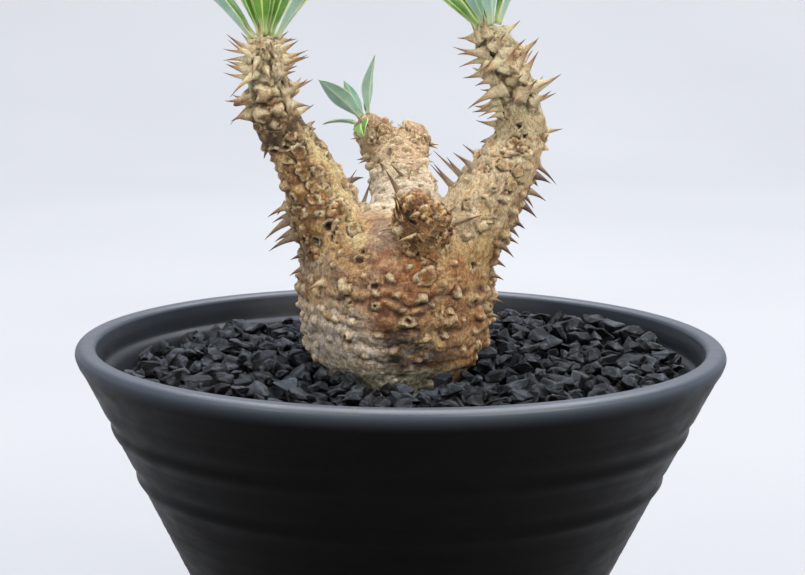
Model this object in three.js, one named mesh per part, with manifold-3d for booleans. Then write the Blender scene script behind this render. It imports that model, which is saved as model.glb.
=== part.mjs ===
// A potted pachypodium: a spiny plant with a swollen base, in a wide conical pot of black ceramic.
// Millimetres, +Z up. The origin is the centre of the foot ring's underside, and the front is -Y.
import * as THREE from "three";
import { mergeVertices } from "three/addons/utils/BufferGeometryUtils.js";
import Module from "manifold-3d";

const wasm = await Module();
wasm.setup();

// Pot
const POT_HEIGHT = 92;
const RIM_RADIUS = 75; // outer edge of the lip
const LIP_WIDTH = 4.6;
const WALL_TAPER = 0.487; // horizontal run for each millimetre of height
const WALL_RUN = 5; // wall thickness, measured level
const SHOULDER_DROP = 8.4; // from the lip's top down to where the straight taper begins
const SHOULDER_RADIUS = 71.8;
const RING_DROPS = [18.2, 29.6]; // the two soft ring steps, below the lip's top
const RING_DEPTH = 0.55;
const FOOT_RADIUS = 31;
const FOOT_WIDTH = 6;
const FOOT_HEIGHT = 4.5;
const FLOOR_TOP = 10;
const DRAIN_RADIUS = 8;
const POT_SIDES = 48;

// Fillings, as heights above the foot
const GAP = 0.3; // between two pieces that touch
const NET_RADIUS = 14;
const NET_THICKNESS = 1;
const NET_PITCH = 4.6;
const NET_BAR = 1.4;
const DRAINAGE_TOP = 24;
const SOIL_TOP = 76;
const DRESSING_AT_WALL = 84.6;
const DRESSING_AT_STEM = 86.6;
const DRESSING_SLOPE = [0.02, 0.024]; // rise per millimetre to the right and to the back
const DRESSING_LUMP = 0.7;
const CHIP_FLATNESS = 0.4;

// Plant
const CAUDEX_CENTRE = new THREE.Vector2(-1.2, 0);
const CAUDEX_DEPTH = 0.93; // front to back against side to side
const ROOT_TOP = 79;
const ROOT_BOTTOM = 36;
const ROOT_RADIUS = 15.5;
const LEAF_THICKNESS = 0.9;
const LEAF_CLEARANCE = 0.9; // from the tip's dome to a leaf's base, corners included

const colours = {
  pot: new THREE.MeshStandardMaterial({ color: 0x17171a, roughness: 0.55, metalness: 0 }),
  net: new THREE.MeshStandardMaterial({ color: 0x2d5f3a, roughness: 0.7, metalness: 0 }),
  pumice: new THREE.MeshStandardMaterial({ color: 0xb9b09c, roughness: 0.95, metalness: 0 }),
  soil: new THREE.MeshStandardMaterial({ color: 0x4a3626, roughness: 0.95, metalness: 0 }),
  dressing: new THREE.MeshStandardMaterial({ color: 0x2a2c2f, roughness: 0.8, metalness: 0 }),
  bark: new THREE.MeshStandardMaterial({ color: 0xb49a70, roughness: 0.85, metalness: 0 }),
  leaf: new THREE.MeshStandardMaterial({ color: 0x6f9f36, roughness: 0.5, metalness: 0 }),
};

const degrees = THREE.MathUtils.degToRad;

// A repeatable value from 0 to 1 for a whole number.
function chance(n) {
  const s = Math.sin(n * 127.1 + 11.7) * 43758.5453;
  return s - Math.floor(s);
}

// A closed geometry as a solid that can be joined and cut.
function solid(geometry) {
  const bare = geometry.index ? geometry.toNonIndexed() : geometry.clone();
  bare.deleteAttribute("normal");
  bare.deleteAttribute("uv");
  const merged = mergeVertices(bare, 1e-4);
  return new wasm.Manifold(
    new wasm.Mesh({
      numProp: 3,
      vertProperties: merged.attributes.position.array,
      triVerts: new Uint32Array(merged.index.array),
    }),
  );
}

function geometryOf(body) {
  const mesh = body.getMesh();
  return new THREE.BufferGeometry()
    .setAttribute("position", new THREE.BufferAttribute(new Float32Array(mesh.vertProperties), 3))
    .setIndex(new THREE.BufferAttribute(new Uint32Array(mesh.triVerts), 1));
}

function named(name, geometry, material) {
  const mesh = new THREE.Mesh(geometry, material);
  mesh.name = name;
  return mesh;
}

// Turns a list of [radius, height] about the Z axis.
function turned(profile, sides) {
  const points = profile.map(([radius, height]) => new THREE.Vector2(radius, height));
  return new THREE.LatheGeometry(points, sides).rotateX(Math.PI / 2);
}

// Moves every vertex of a geometry with a function that changes the vector it is given.
function reshape(geometry, change) {
  const position = geometry.attributes.position;
  const vertex = new THREE.Vector3();
  for (let i = 0; i < position.count; i++) {
    change(vertex.fromBufferAttribute(position, i));
    position.setXYZ(i, vertex.x, vertex.y, vertex.z);
  }
  return geometry;
}

// ---------------------------------------------------------------- pot

// Outer radius of the straight wall at a height.
function wallRadius(height) {
  return SHOULDER_RADIUS - WALL_TAPER * (POT_HEIGHT - SHOULDER_DROP - height);
}

function innerRadius(height) {
  return wallRadius(height) - WALL_RUN;
}

// The outer wall from the foot up, with each ring as a small swelling over a small groove.
function outerWall() {
  const wall = [[wallRadius(FOOT_HEIGHT + 2.5), FOOT_HEIGHT + 2.5]];
  for (const drop of [...RING_DROPS].reverse()) {
    const height = POT_HEIGHT - drop;
    wall.push([wallRadius(height - 3), height - 3]);
    wall.push([wallRadius(height - 1.2) + RING_DEPTH, height - 1.2]);
    wall.push([wallRadius(height + 1.2) - RING_DEPTH / 2, height + 1.2]);
    wall.push([wallRadius(height + 4), height + 4]);
  }
  return wall;
}

function potGeometry() {
  const lipInner = RIM_RADIUS - LIP_WIDTH;
  const lip = [
    [SHOULDER_RADIUS, POT_HEIGHT - SHOULDER_DROP],
    [RIM_RADIUS - 0.6, POT_HEIGHT - 3.4],
    [RIM_RADIUS, POT_HEIGHT - 2],
    [RIM_RADIUS - 0.5, POT_HEIGHT - 0.7],
    [RIM_RADIUS - 1.7, POT_HEIGHT],
    [lipInner + 1.2, POT_HEIGHT],
    [lipInner + 0.2, POT_HEIGHT - 0.6],
    [lipInner - 0.5, POT_HEIGHT - 2],
  ];
  const inside = [
    [innerRadius(POT_HEIGHT - 5) + 0.9, POT_HEIGHT - 5],
    [innerRadius(POT_HEIGHT - 6.4), POT_HEIGHT - 6.4],
    [innerRadius(FLOOR_TOP + 3), FLOOR_TOP + 3],
    [innerRadius(FLOOR_TOP) - 3, FLOOR_TOP],
    [DRAIN_RADIUS, FLOOR_TOP],
  ];
  const underside = [
    [DRAIN_RADIUS, FOOT_HEIGHT],
    [FOOT_RADIUS - FOOT_WIDTH - 0.8, FOOT_HEIGHT],
    [FOOT_RADIUS - FOOT_WIDTH, 0],
    [FOOT_RADIUS - 0.8, 0],
    [FOOT_RADIUS, 0.8],
    [FOOT_RADIUS + 0.4, FOOT_HEIGHT],
  ];
  return turned([...underside, ...outerWall(), ...lip, ...inside, underside[0]], POT_SIDES);
}

// ---------------------------------------------------------------- what fills the pot

// A disc of net: crossed bars inside a round rim.
function netGeometry() {
  const level = FLOOR_TOP + GAP + NET_THICKNESS / 2;
  const inner = NET_RADIUS - NET_BAR;
  const rim = turned(
    [
      [inner, level - NET_THICKNESS / 2],
      [NET_RADIUS, level - NET_THICKNESS / 2],
      [NET_RADIUS, level + NET_THICKNESS / 2],
      [inner, level + NET_THICKNESS / 2],
      [inner, level - NET_THICKNESS / 2],
    ],
    20,
  );
  let net = solid(rim);
  for (let offset = -2; offset <= 2; offset++) {
    const reach = Math.sqrt((inner + 0.2) ** 2 - (offset * NET_PITCH) ** 2);
    const bar = new THREE.BoxGeometry(2 * reach, NET_BAR, NET_THICKNESS);
    bar.translate(0, offset * NET_PITCH, 0);
    net = net.add(solid(bar.clone().translate(0, 0, level)));
    net = net.add(solid(bar.rotateZ(Math.PI / 2).translate(0, 0, level)));
  }
  return geometryOf(net);
}

// Raises and lowers the upper surface, so that it lies like loose grains.
function loosen(geometry, above, lump) {
  return reshape(geometry, (v) => {
    if (v.z < above || Math.hypot(v.x, v.y) < 0.01) return;
    const seed = Math.round(v.x * 8) * 31 + Math.round(v.y * 8) * 17;
    v.z += lump * (2 * chance(seed) - 1);
  });
}

function drainageGeometry() {
  const netTop = FLOOR_TOP + NET_THICKNESS + 2 * GAP;
  const wall = (height) => innerRadius(height) - GAP;
  const profile = [
    [0, netTop],
    [NET_RADIUS + GAP, netTop],
    [NET_RADIUS + GAP, FLOOR_TOP + GAP],
    [wall(FLOOR_TOP) - 3.2, FLOOR_TOP + GAP],
    [wall(FLOOR_TOP + 3.2) - 0.1, FLOOR_TOP + 3.2],
    [wall(DRAINAGE_TOP) - 0.1, DRAINAGE_TOP],
    [22, DRAINAGE_TOP + 0.6],
    [11, DRAINAGE_TOP + 0.2],
    [0, DRAINAGE_TOP],
  ];
  return turned(profile, 40);
}

// The soil, with the cavity that the taproot fills.
function soilGeometry() {
  const wall = (height) => innerRadius(height) - GAP - 0.1;
  const profile = [
    [0, DRAINAGE_TOP + 1],
    [22, DRAINAGE_TOP + 1.2],
    [wall(DRAINAGE_TOP + 0.8), DRAINAGE_TOP + 0.8],
    [wall(SOIL_TOP), SOIL_TOP],
    [44, SOIL_TOP + 0.6],
    [ROOT_RADIUS + 6, SOIL_TOP + 1],
  ];
  const cavity = rootProfile(GAP + 0.25).reverse();
  const mouth = cavity.filter(([, height]) => height < SOIL_TOP);
  const lip = [rootRadius(SOIL_TOP + 1) + GAP + 0.25, SOIL_TOP + 1];
  return turned([...profile, lip, ...mouth], 40);
}

// Height of the dressing's even surface at a distance from the pot's axis.
function dressingHeight(radius) {
  const outer = innerRadius(DRESSING_AT_WALL);
  const share = THREE.MathUtils.clamp((outer - radius) / (outer - 20), 0, 1);
  return THREE.MathUtils.lerp(DRESSING_AT_WALL, DRESSING_AT_STEM, share * share);
}

// How much higher than that the dressing lies at a place: it was heaped up to the back and the right.
function dressingRise(x, y) {
  return x * DRESSING_SLOPE[0] + y * DRESSING_SLOPE[1];
}

// Tips the upper face of a layer the way the dressing lies, and keeps its edge along the pot's wall.
function sloped(geometry, bottom) {
  return reshape(geometry, (v) => {
    const share = THREE.MathUtils.clamp((v.z - bottom) / (DRESSING_AT_WALL - bottom), 0, 1);
    const rise = share * dressingRise(v.x, v.y);
    const widening = 1 + (WALL_TAPER * rise) / innerRadius(DRESSING_AT_WALL);
    v.set(v.x * widening, v.y * widening, v.z + rise);
  });
}

// The crushed stone on top, as one connected layer with a rough surface and a hole for the stem.
function dressingGeometry() {
  const outer = (height) => innerRadius(height) - GAP - 0.1;
  const bottom = SOIL_TOP + 1.6;
  const profile = [
    [0, bottom],
    [outer(bottom), bottom],
    [outer(DRESSING_AT_WALL - 1.2), DRESSING_AT_WALL - 1.2],
  ];
  const rings = 9;
  for (let i = 0; i <= rings; i++) {
    const radius = THREE.MathUtils.lerp(outer(DRESSING_AT_WALL) - 1.6, 12, i / rings);
    profile.push([radius, dressingHeight(radius)]);
  }
  profile.push([0, DRESSING_AT_STEM]);
  const layer = sloped(loosen(turned(profile, 48), DRESSING_AT_WALL - 0.5, DRESSING_LUMP), bottom);
  const clearance = GAP + 0.1;
  return geometryOf(solid(layer).subtract(caudexSolid(clearance)).subtract(rootSolid(clearance)));
}

// One loose chip of crushed stone: a squeezed and chipped icosahedron.
function chipGeometry(index, length) {
  const chip = new THREE.IcosahedronGeometry(0.5, 0);
  return reshape(chip, (v) => {
    const seed = Math.round(v.x * 10) * 7 + Math.round(v.y * 10) * 13 + Math.round(v.z * 10) * 29;
    v.multiplyScalar(0.8 + 0.2 * chance(seed + index * 3));
    v.set(v.x * length, v.y * length * 0.62, v.z * length * CHIP_FLATNESS);
  });
}

// Loose chips that lie on the dressing, spread by the golden angle between the stem and the wall.
function looseChips(count) {
  const chips = [];
  for (let i = 0; i < count; i++) {
    const length = 5.6 + 2.6 * chance(i);
    const radius = THREE.MathUtils.lerp(31, 54, Math.sqrt((i + 0.5) / count));
    const angle = i * 2.39996 + 0.4;
    const mesh = named(
      "loose_chip_" + String(i + 1).padStart(2, "0"),
      chipGeometry(i, length),
      colours.dressing,
    );
    const [x, y] = [radius * Math.cos(angle), radius * Math.sin(angle)];
    const lift = DRESSING_LUMP + GAP + (length * CHIP_FLATNESS) / 2;
    mesh.position.set(x, y, dressingHeight(radius - 4) + dressingRise(x, y) + lift);
    mesh.rotation.z = chance(i + 50) * Math.PI;
    chips.push(mesh);
  }
  return chips;
}

// ---------------------------------------------------------------- stem

const at = (x, y, aboveRim) => new THREE.Vector3(x, y, POT_HEIGHT + aboveRim);

// The centre line of each limb, from inside the caudex to its tip, and its radius along the way.
const limbs = {
  left: {
    points: [at(-6, -1, 8), at(-13.5, -3, 22), at(-18, -4.5, 31), at(-22.6, -5.2, 41.5),
      at(-28, -5.5, 50), at(-30.6, -5, 60), at(-31.4, -5, 70.5)],
    radii: [11, 10, 8.5, 6.7, 5.4, 5.1, 4.7],
  },
  right: {
    points: [at(5, -1, 8), at(12, -3, 21), at(18.6, -5, 33), at(23.6, -5.5, 41), at(26.8, -5.5, 47.5),
      at(26, -5, 55), at(22.2, -5, 64.5), at(17.8, -5, 73.2)],
    radii: [11, 10, 9, 7.5, 6.1, 5.5, 5.2, 4.7],
  },
  back: {
    points: [at(0, 2, 10), at(1, 12, 22), at(1, 26, 29), at(-1, 40, 35), at(-2.5, 47, 40)],
    radii: [13, 12, 8.6, 7.6, 6.6],
  },
  back_left: {
    points: [at(-1, 42, 35), at(-6, 47.6, 41.2), at(-10.6, 49.6, 48.4)],
    radii: [6, 5.2, 3.6],
  },
  back_right: {
    points: [at(-1, 42, 35), at(2.4, 48, 41.5), at(4, 50, 46)],
    radii: [6, 5.2, 4.2],
  },
  stub: {
    points: [at(3, -8, 18), at(4.4, -15, 28), at(5, -18, 35.5)],
    radii: [8, 6, 5.2],
  },
};
for (const limb of Object.values(limbs)) limb.curve = new THREE.CatmullRomCurve3(limb.points);

// The share of a limb's length that its domed tip takes.
function domeShare(limb) {
  return limb.radii.at(-1) / limb.curve.getLength();
}

// A limb's radius at a share of its length, with the domed tip.
function limbRadius(limb, share) {
  const place = share * (limb.radii.length - 1);
  const i = Math.min(Math.floor(place), limb.radii.length - 2);
  const rod = THREE.MathUtils.lerp(limb.radii[i], limb.radii[i + 1], place - i);
  const rise = Math.max(0, (share - 1) / domeShare(limb) + 1);
  return rod * Math.sqrt(Math.max(0, 1 - rise * rise));
}

// A limb's centre, direction and two cross directions at a share of its length.
function limbFrame(limb, share) {
  const centre = limb.curve.getPointAt(share);
  const along = limb.curve.getTangentAt(share);
  const out = new THREE.Vector3(0, 1, 0).cross(along).normalize();
  const across = out.clone().cross(along);
  return { centre, along, out, across };
}

// A turned rod with a domed tip, bent along the limb's centre line, with slow swellings.
function limbGeometry(limb, rings, sides) {
  const dome = domeShare(limb);
  const shares = Array.from({ length: rings + 1 }, (_, i) => (1 - dome) * (i / rings));
  for (const rise of [30, 60]) shares.push(1 - dome + dome * Math.sin(degrees(rise)));
  const profile = [[0, 0], ...shares.map((share) => [limbRadius(limb, share), share]), [0, 1]];
  const points = profile.map(([radius, share]) => new THREE.Vector2(radius, share));
  const rod = new THREE.LatheGeometry(points, sides);
  return reshape(rod, (v) => {
    const angle = Math.atan2(v.z, v.x);
    const swell = 1 + 0.045 * Math.sin(3 * angle + 31 * v.y) + 0.03 * Math.sin(61 * v.y);
    const { centre, out, across } = limbFrame(limb, THREE.MathUtils.clamp(v.y, 0, 1));
    const side = out.multiplyScalar(v.x * swell).add(across.multiplyScalar(v.z * swell));
    v.copy(centre.add(side));
  });
}

// The swollen base, from the root collar to the shoulders. A positive margin makes it that much fatter.
const caudexOutline = [
  [11, -13.5], [13.5, -11], [17.6, -6], [19.6, -3.4], [20.8, -0.6], [21.6, 4], [22.1, 9], [22.4, 14],
  [22, 19.5], [19, 25.5], [13, 29.5], [6, 31.5],
];

function caudexSolid(margin = 0) {
  const profile = caudexOutline.map(([radius, aboveRim]) => [radius + margin, POT_HEIGHT + aboveRim]);
  const bottom = [0, profile[0][1]];
  const top = [0, POT_HEIGHT + 32 + margin];
  const barrel = turned([bottom, ...profile, top], 36);
  return solid(
    reshape(barrel, (v) => {
      const angle = Math.atan2(v.y, v.x);
      const swell = 1 + 0.012 * Math.sin(5 * angle + 0.3 * v.z) + 0.01 * Math.sin(2 * angle + 1);
      v.x = v.x * swell + CAUDEX_CENTRE.x;
      v.y = v.y * swell * CAUDEX_DEPTH + CAUDEX_CENTRE.y;
    }),
  );
}

function rootRadius(height) {
  const share = THREE.MathUtils.clamp((height - ROOT_BOTTOM) / (ROOT_TOP - ROOT_BOTTOM), 0, 1);
  return 2 + (ROOT_RADIUS - 3.5) * Math.pow(share, 1.5);
}

// The taproot's outline from its tip upwards, grown outwards by a margin.
function rootProfile(margin) {
  const profile = [[0, ROOT_BOTTOM - margin]];
  for (let height = ROOT_BOTTOM; height <= ROOT_TOP; height += (ROOT_TOP - ROOT_BOTTOM) / 6)
    profile.push([rootRadius(height) + margin, height]);
  return profile;
}

function rootSolid(margin = 0) {
  return solid(turned([...rootProfile(margin), [0, ROOT_TOP + margin]], 20));
}

// A stout spine that stands on a limb and leans towards the tip.
function spineSolid(limb, share, turn, length, lean) {
  const { centre, along, out, across } = limbFrame(limb, share);
  const away = out.multiplyScalar(Math.cos(turn)).add(across.multiplyScalar(Math.sin(turn)));
  const foot = centre.add(away.clone().multiplyScalar(limbRadius(limb, share) * 0.88));
  const aim = away.add(along.multiplyScalar(lean)).normalize();
  const spine = new THREE.ConeGeometry(0.26 * length + 0.35, length, 5).translate(0, length / 2, 0);
  spine.applyQuaternion(new THREE.Quaternion().setFromUnitVectors(new THREE.Vector3(0, 1, 0), aim));
  return solid(spine.translate(foot.x, foot.y, foot.z));
}

// Spines stand in a spiral on the young wood, longest at the head.
function spiralSpines(limb, count, from, to, length) {
  const spines = [];
  for (let i = 0; i < count; i++) {
    const share = THREE.MathUtils.lerp(from, to, i / (count - 1));
    const size = length * (0.8 + 0.4 * chance(i + count));
    spines.push(spineSolid(limb, share, i * 2.39996, size, 0.25));
  }
  return spines;
}

function stemGeometry() {
  const { left, right, back, back_left, back_right, stub } = limbs;
  const outer = [0.42, 0.5, 0.57].map((share, i) => spineSolid(left, share, Math.PI + 0.3 - 0.3 * i, 6, 0.2));
  const row = [0.34, 0.41, 0.48, 0.55, 0.62, 0.69].map((share) => spineSolid(right, share, 0, 5.2, -0.1));
  const parts = [
    caudexSolid(),
    rootSolid(),
    solid(limbGeometry(left, 20, 14)),
    solid(limbGeometry(right, 22, 14)),
    solid(limbGeometry(back, 12, 14)),
    solid(limbGeometry(back_left, 9, 12)),
    solid(limbGeometry(back_right, 9, 12)),
    solid(limbGeometry(stub, 8, 12)),
    ...spiralSpines(left, 26, 0.66, 0.95, 4.2),
    ...spiralSpines(right, 26, 0.7, 0.95, 4.2),
    ...spiralSpines(back_left, 9, 0.4, 0.75, 3.2),
    ...spiralSpines(back_right, 9, 0.4, 0.75, 3.2),
    ...outer,
    ...row,
  ];
  return geometryOf(parts.reduce((joined, part) => joined.add(part)));
}

// ---------------------------------------------------------------- leaves

// Each rosette stands on a limb's tip. A leaf leaves the tip at a turn about the limb's direction and at a
// tilt away from it, and bends outwards by its droop, all in degrees.
const rosettes = {
  left: {
    limb: limbs.left,
    leaves: [
      { turn: 160, tilt: 37, droop: 20, length: 40, width: 6.8 },
      { turn: 207, tilt: 36, droop: 20, length: 42, width: 7 },
      { turn: 252, tilt: 34, droop: 22, length: 38, width: 6.8 },
      { turn: 293, tilt: 38, droop: 22, length: 38, width: 6.6 },
      { turn: 334, tilt: 40, droop: 22, length: 31, width: 6.8 },
      { turn: 20, tilt: 38, droop: 20, length: 37, width: 6.8 },
      { turn: 226, tilt: 17, droop: 12, length: 35, width: 6 },
      { turn: 266, tilt: 3, droop: 6, length: 32, width: 5.6 },
      { turn: 308, tilt: 20, droop: 12, length: 35, width: 7 },
    ],
  },
  right: {
    limb: limbs.right,
    leaves: [
      { turn: 214, tilt: 23, droop: 20, length: 38, width: 7.4 },
      { turn: 256, tilt: 36, droop: 22, length: 38, width: 6.8 },
      { turn: 297, tilt: 38, droop: 22, length: 36, width: 6.4 },
      { turn: 338, tilt: 40, droop: 22, length: 35, width: 6.2 },
      { turn: 18, tilt: 47, droop: 24, length: 34, width: 6 },
      { turn: 57, tilt: 36, droop: 22, length: 36, width: 7 },
      { turn: 262, tilt: 6, droop: 8, length: 32, width: 5.4 },
      { turn: 322, tilt: 16, droop: 10, length: 30, width: 5.2 },
      { turn: 78, tilt: 13, droop: 12, length: 28, width: 5 },
    ],
  },
  back: {
    limb: limbs.back_left,
    leaves: [
      { turn: 108, tilt: 32, droop: 22, length: 16.5, width: 5 },
      { turn: 96, tilt: 84, droop: 56, length: 13, width: 4.6 },
      { turn: 322, tilt: 30, droop: 20, length: 11, width: 3.8 },
      { turn: 36, tilt: 38, droop: 20, length: 16, width: 4.4 },
      { turn: 200, tilt: 44, droop: 30, length: 10, width: 4.2 },
      { turn: 70, tilt: 6, droop: 12, length: 10, width: 3.6 },
    ],
  },
};

// A leaf's width at a share of its length, against its widest.
function leafOutline(share) {
  const swell = Math.sin(Math.PI * Math.pow(share, 0.92));
  return Math.max(0.06, swell, 0.34 * (1 - 2 * share));
}

// A thin sheet folded up along its midrib, that follows an arching curve from the limb's tip.
function leafGeometry(limb, leaf) {
  const { along, out, across } = limbFrame(limb, 1);
  const crown = limb.radii.at(-1);
  const centre = limb.curve.getPointAt(1).addScaledVector(along, -crown);
  const turn = degrees(leaf.turn);
  const away = out.multiplyScalar(Math.cos(turn)).addScaledVector(across, Math.sin(turn));
  const aim = (angle) =>
    along.clone().multiplyScalar(Math.cos(angle)).addScaledVector(away, Math.sin(angle));
  const base = centre.clone().addScaledVector(aim(degrees(leaf.tilt)), crown + LEAF_CLEARANCE);
  const middle = base.clone().addScaledVector(aim(degrees(leaf.tilt)), leaf.length * 0.5);
  const tip = middle.clone().addScaledVector(aim(degrees(leaf.tilt + leaf.droop)), leaf.length * 0.5);
  const midrib = new THREE.QuadraticBezierCurve3(base, middle, tip);
  const side = away.clone().cross(along).normalize();
  const sheet = new THREE.BoxGeometry(2, 1, 2, 2, 7, 1);
  return reshape(sheet, (v) => {
    const share = v.y + 0.5;
    const half = (leaf.width / 2) * leafOutline(share);
    const tangent = midrib.getTangentAt(share);
    const upper = side.clone().cross(tangent);
    const depth = (v.z * LEAF_THICKNESS * (1 - 0.55 * share) * (1 - 0.5 * Math.abs(v.x))) / 2;
    const lift = depth + 0.35 * half * Math.abs(v.x);
    const point = midrib.getPointAt(share).addScaledVector(side, v.x * half);
    v.copy(point.addScaledVector(upper, lift));
  });
}

function leafMeshes() {
  return Object.entries(rosettes).flatMap(([name, { limb, leaves }]) =>
    leaves.map((leaf, i) =>
      named("leaf_" + name + "_" + String(i + 1).padStart(2, "0"), leafGeometry(limb, leaf), colours.leaf),
    ),
  );
}

// ---------------------------------------------------------------- the whole plant in its pot

const plant = new THREE.Group();
plant.add(
  named("pot", potGeometry(), colours.pot),
  named("drainage_mesh", netGeometry(), colours.net),
  named("drainage_gravel", drainageGeometry(), colours.pumice),
  named("potting_mix", soilGeometry(), colours.soil),
  named("gravel_layer", dressingGeometry(), colours.dressing),
  named("stem", stemGeometry(), colours.bark),
  ...looseChips(24),
  ...leafMeshes(),
);

export default plant;
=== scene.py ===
"""The looks of the potted pachypodium: a spiny plant with a swollen base, in a wide conical pot of
satin black ceramic, dressed with crushed black stone.

Lengths are in millimetres until a mesh is made. Heights of the plant and of the stones are measured
from the pot's lip, and heights of the pot from its foot. The front is -Y.
"""

import itertools
import math

import bmesh
import bpy
import numpy as np
from mathutils import Matrix, Vector
from mathutils.bvhtree import BVHTree


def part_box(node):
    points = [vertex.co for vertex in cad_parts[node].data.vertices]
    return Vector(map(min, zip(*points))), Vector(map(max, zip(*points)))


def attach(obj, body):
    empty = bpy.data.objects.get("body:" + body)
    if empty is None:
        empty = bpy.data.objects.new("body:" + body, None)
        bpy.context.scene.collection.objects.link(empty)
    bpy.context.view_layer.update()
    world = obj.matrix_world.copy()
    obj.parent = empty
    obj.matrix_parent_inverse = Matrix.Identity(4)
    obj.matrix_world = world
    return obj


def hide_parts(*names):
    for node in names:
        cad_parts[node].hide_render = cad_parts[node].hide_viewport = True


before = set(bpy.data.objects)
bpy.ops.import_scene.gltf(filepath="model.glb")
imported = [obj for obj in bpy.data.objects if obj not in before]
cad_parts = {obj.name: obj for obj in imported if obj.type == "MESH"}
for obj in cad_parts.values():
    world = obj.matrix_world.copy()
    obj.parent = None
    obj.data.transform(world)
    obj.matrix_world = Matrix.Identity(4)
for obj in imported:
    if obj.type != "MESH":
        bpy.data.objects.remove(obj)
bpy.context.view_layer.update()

MM = 0.001
GOLDEN_TURN = 2.39996
POT_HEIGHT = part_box("pot")[1][2] / MM
RIM_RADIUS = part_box("pot")[1][0] / MM
LIP = np.array([0, 0, POT_HEIGHT])

# Pot, as in the CAD
LIP_WIDTH = 4.6
WALL_TAPER = 0.487
WALL_RUN = 5.0
SHOULDER_DROP = 8.4
SHOULDER_RADIUS = 71.8
RING_DROPS = (18.2, 29.6)
FOOT_RADIUS = 31.0
FOOT_WIDTH = 6.0
FOOT_HEIGHT = 4.5
FLOOR_TOP = 10.0
DRAIN_RADIUS = 8.0

# Plant, as in the CAD
CAUDEX_CENTRE = np.array([-1.2, 0.0])
CAUDEX_DEPTH = 0.93
BARK_VOXEL = 0.92  # the bark's mesh is this fine, and twice as fine once it is subdivided
MELTING_ROUNDS = 9  # how often the limbs' joints are softened
CAVITY_ROUNDS = 7  # how far round a point the bark is level, when its hollows are sought


# ---------------------------------------------------------------- numbers and noise

LATTICE = np.random.default_rng(3).random((32, 32, 32)) * 2 - 1


def noise(points, size, octaves=1, seed=0):
    """Smooth noise from -1 to 1 at each point, with features about size across."""
    total = np.zeros(len(points))
    weight, reach = 1.0, 0.0
    for octave in range(octaves):
        place = points / size * 2**octave + 7.3 * (seed + octave)
        cell = np.floor(place).astype(int)
        part = place - cell
        fade = part * part * (3 - 2 * part)
        for corner in itertools.product((0, 1), repeat=3):
            i, j, k = ((cell + corner) % 32).T
            share = np.prod(np.where(corner, fade, 1 - fade), axis=1)
            total += weight * share * LATTICE[i, j, k]
        reach += weight
        weight *= 0.5
    return total / reach * 1.6


def ease(low, high, value):
    share = np.clip((value - low) / (high - low), 0, 1)
    return share * share * (3 - 2 * share)


def band(value, low, high, soft):
    """1 between low and high, falling to 0 over soft on either side."""
    return ease(low - soft, low, value) * (1 - ease(high, high + soft, value))


def bell(value, centre, width):
    """1 at the centre, falling to 0 on both sides."""
    return np.exp(-(((value - centre) / width) ** 2))


def swing(first, second, angle):
    """The direction at an angle from the first towards the second."""
    return first * math.cos(angle) + second * math.sin(angle)


def unit(vector):
    return vector / np.linalg.norm(vector)


def srgb(code):
    """A colour written as six hex digits, as linear numbers."""
    channels = [int(code[i : i + 2], 16) / 255 for i in (0, 2, 4)]
    return np.array([c / 12.92 if c <= 0.04045 else ((c + 0.055) / 1.055) ** 2.4 for c in channels])


def rgba(code):
    return (*srgb(code), 1.0)


# ---------------------------------------------------------------- meshes


def add_mesh(name, vertices, faces, materials, smooth=True):
    """A new object from vertices in millimetres."""
    mesh = bpy.data.meshes.new(name)
    mesh.from_pydata((np.asarray(vertices) * MM).tolist(), [], [list(f) for f in faces])
    for material in materials:
        mesh.materials.append(material)
    mesh.polygons.foreach_set("use_smooth", [smooth] * len(mesh.polygons))
    obj = bpy.data.objects.new(name, mesh)
    bpy.context.scene.collection.objects.link(obj)
    return obj


def set_values(obj, name, values):
    """Stores one number or one colour for each vertex, for a material to read."""
    values = np.asarray(values, dtype=np.float32)
    if values.ndim == 1:
        obj.data.attributes.new(name, "FLOAT", "POINT").data.foreach_set("value", values)
        return
    colours = np.ones((len(values), 4), dtype=np.float32)
    colours[:, :3] = values
    obj.data.attributes.new(name, "FLOAT_COLOR", "POINT").data.foreach_set("color", colours.ravel())


def modified(name, vertices, faces, kind, **settings):
    """The vertices, in millimetres, and the faces of a mesh that a modifier has changed."""
    obj = add_mesh(name, vertices, faces, [])
    modifier = obj.modifiers.new(name, kind)
    for key, value in settings.items():
        setattr(modifier, key, value)
    shown = obj.evaluated_get(bpy.context.evaluated_depsgraph_get())
    mesh = shown.to_mesh()
    vertices = np.empty(3 * len(mesh.vertices))
    mesh.vertices.foreach_get("co", vertices)
    faces = np.array([list(p.vertices) for p in mesh.polygons])
    shown.to_mesh_clear()
    bpy.data.objects.remove(obj)
    return vertices.reshape(-1, 3) / MM, faces


def vertex_normals(vertices, quads):
    a, b, c, d = (vertices[corner] for corner in quads.T)
    normals = np.zeros_like(vertices)
    for corner in quads.T:
        np.add.at(normals, corner, np.cross(c - a, d - b))
    return normals / np.linalg.norm(normals, axis=1, keepdims=True)


def soften(vertices, quads, rounds):
    """Moves each vertex, or its number, half way to the mean of its neighbours, some rounds over."""
    ends = np.concatenate([quads, np.roll(quads, 1, axis=1)]).ravel()
    others = np.concatenate([np.roll(quads, -1, axis=1), quads]).ravel()
    count = np.bincount(ends, minlength=len(vertices))
    columns = np.atleast_2d(vertices.T)
    for _ in range(rounds):
        columns = [(c + np.bincount(ends, c[others], len(count)) / count) / 2 for c in columns]
    return np.stack(columns, axis=1).reshape(vertices.shape)


def grid_faces(rings, sides, closed=True):
    """Quads between rings of vertices, each ring with that many sides."""
    faces = []
    for i in range(rings - 1):
        for j in range(sides if closed else sides - 1):
            k = (j + 1) % sides
            faces.append((i * sides + j, i * sides + k, (i + 1) * sides + k, (i + 1) * sides + j))
    return faces


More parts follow.
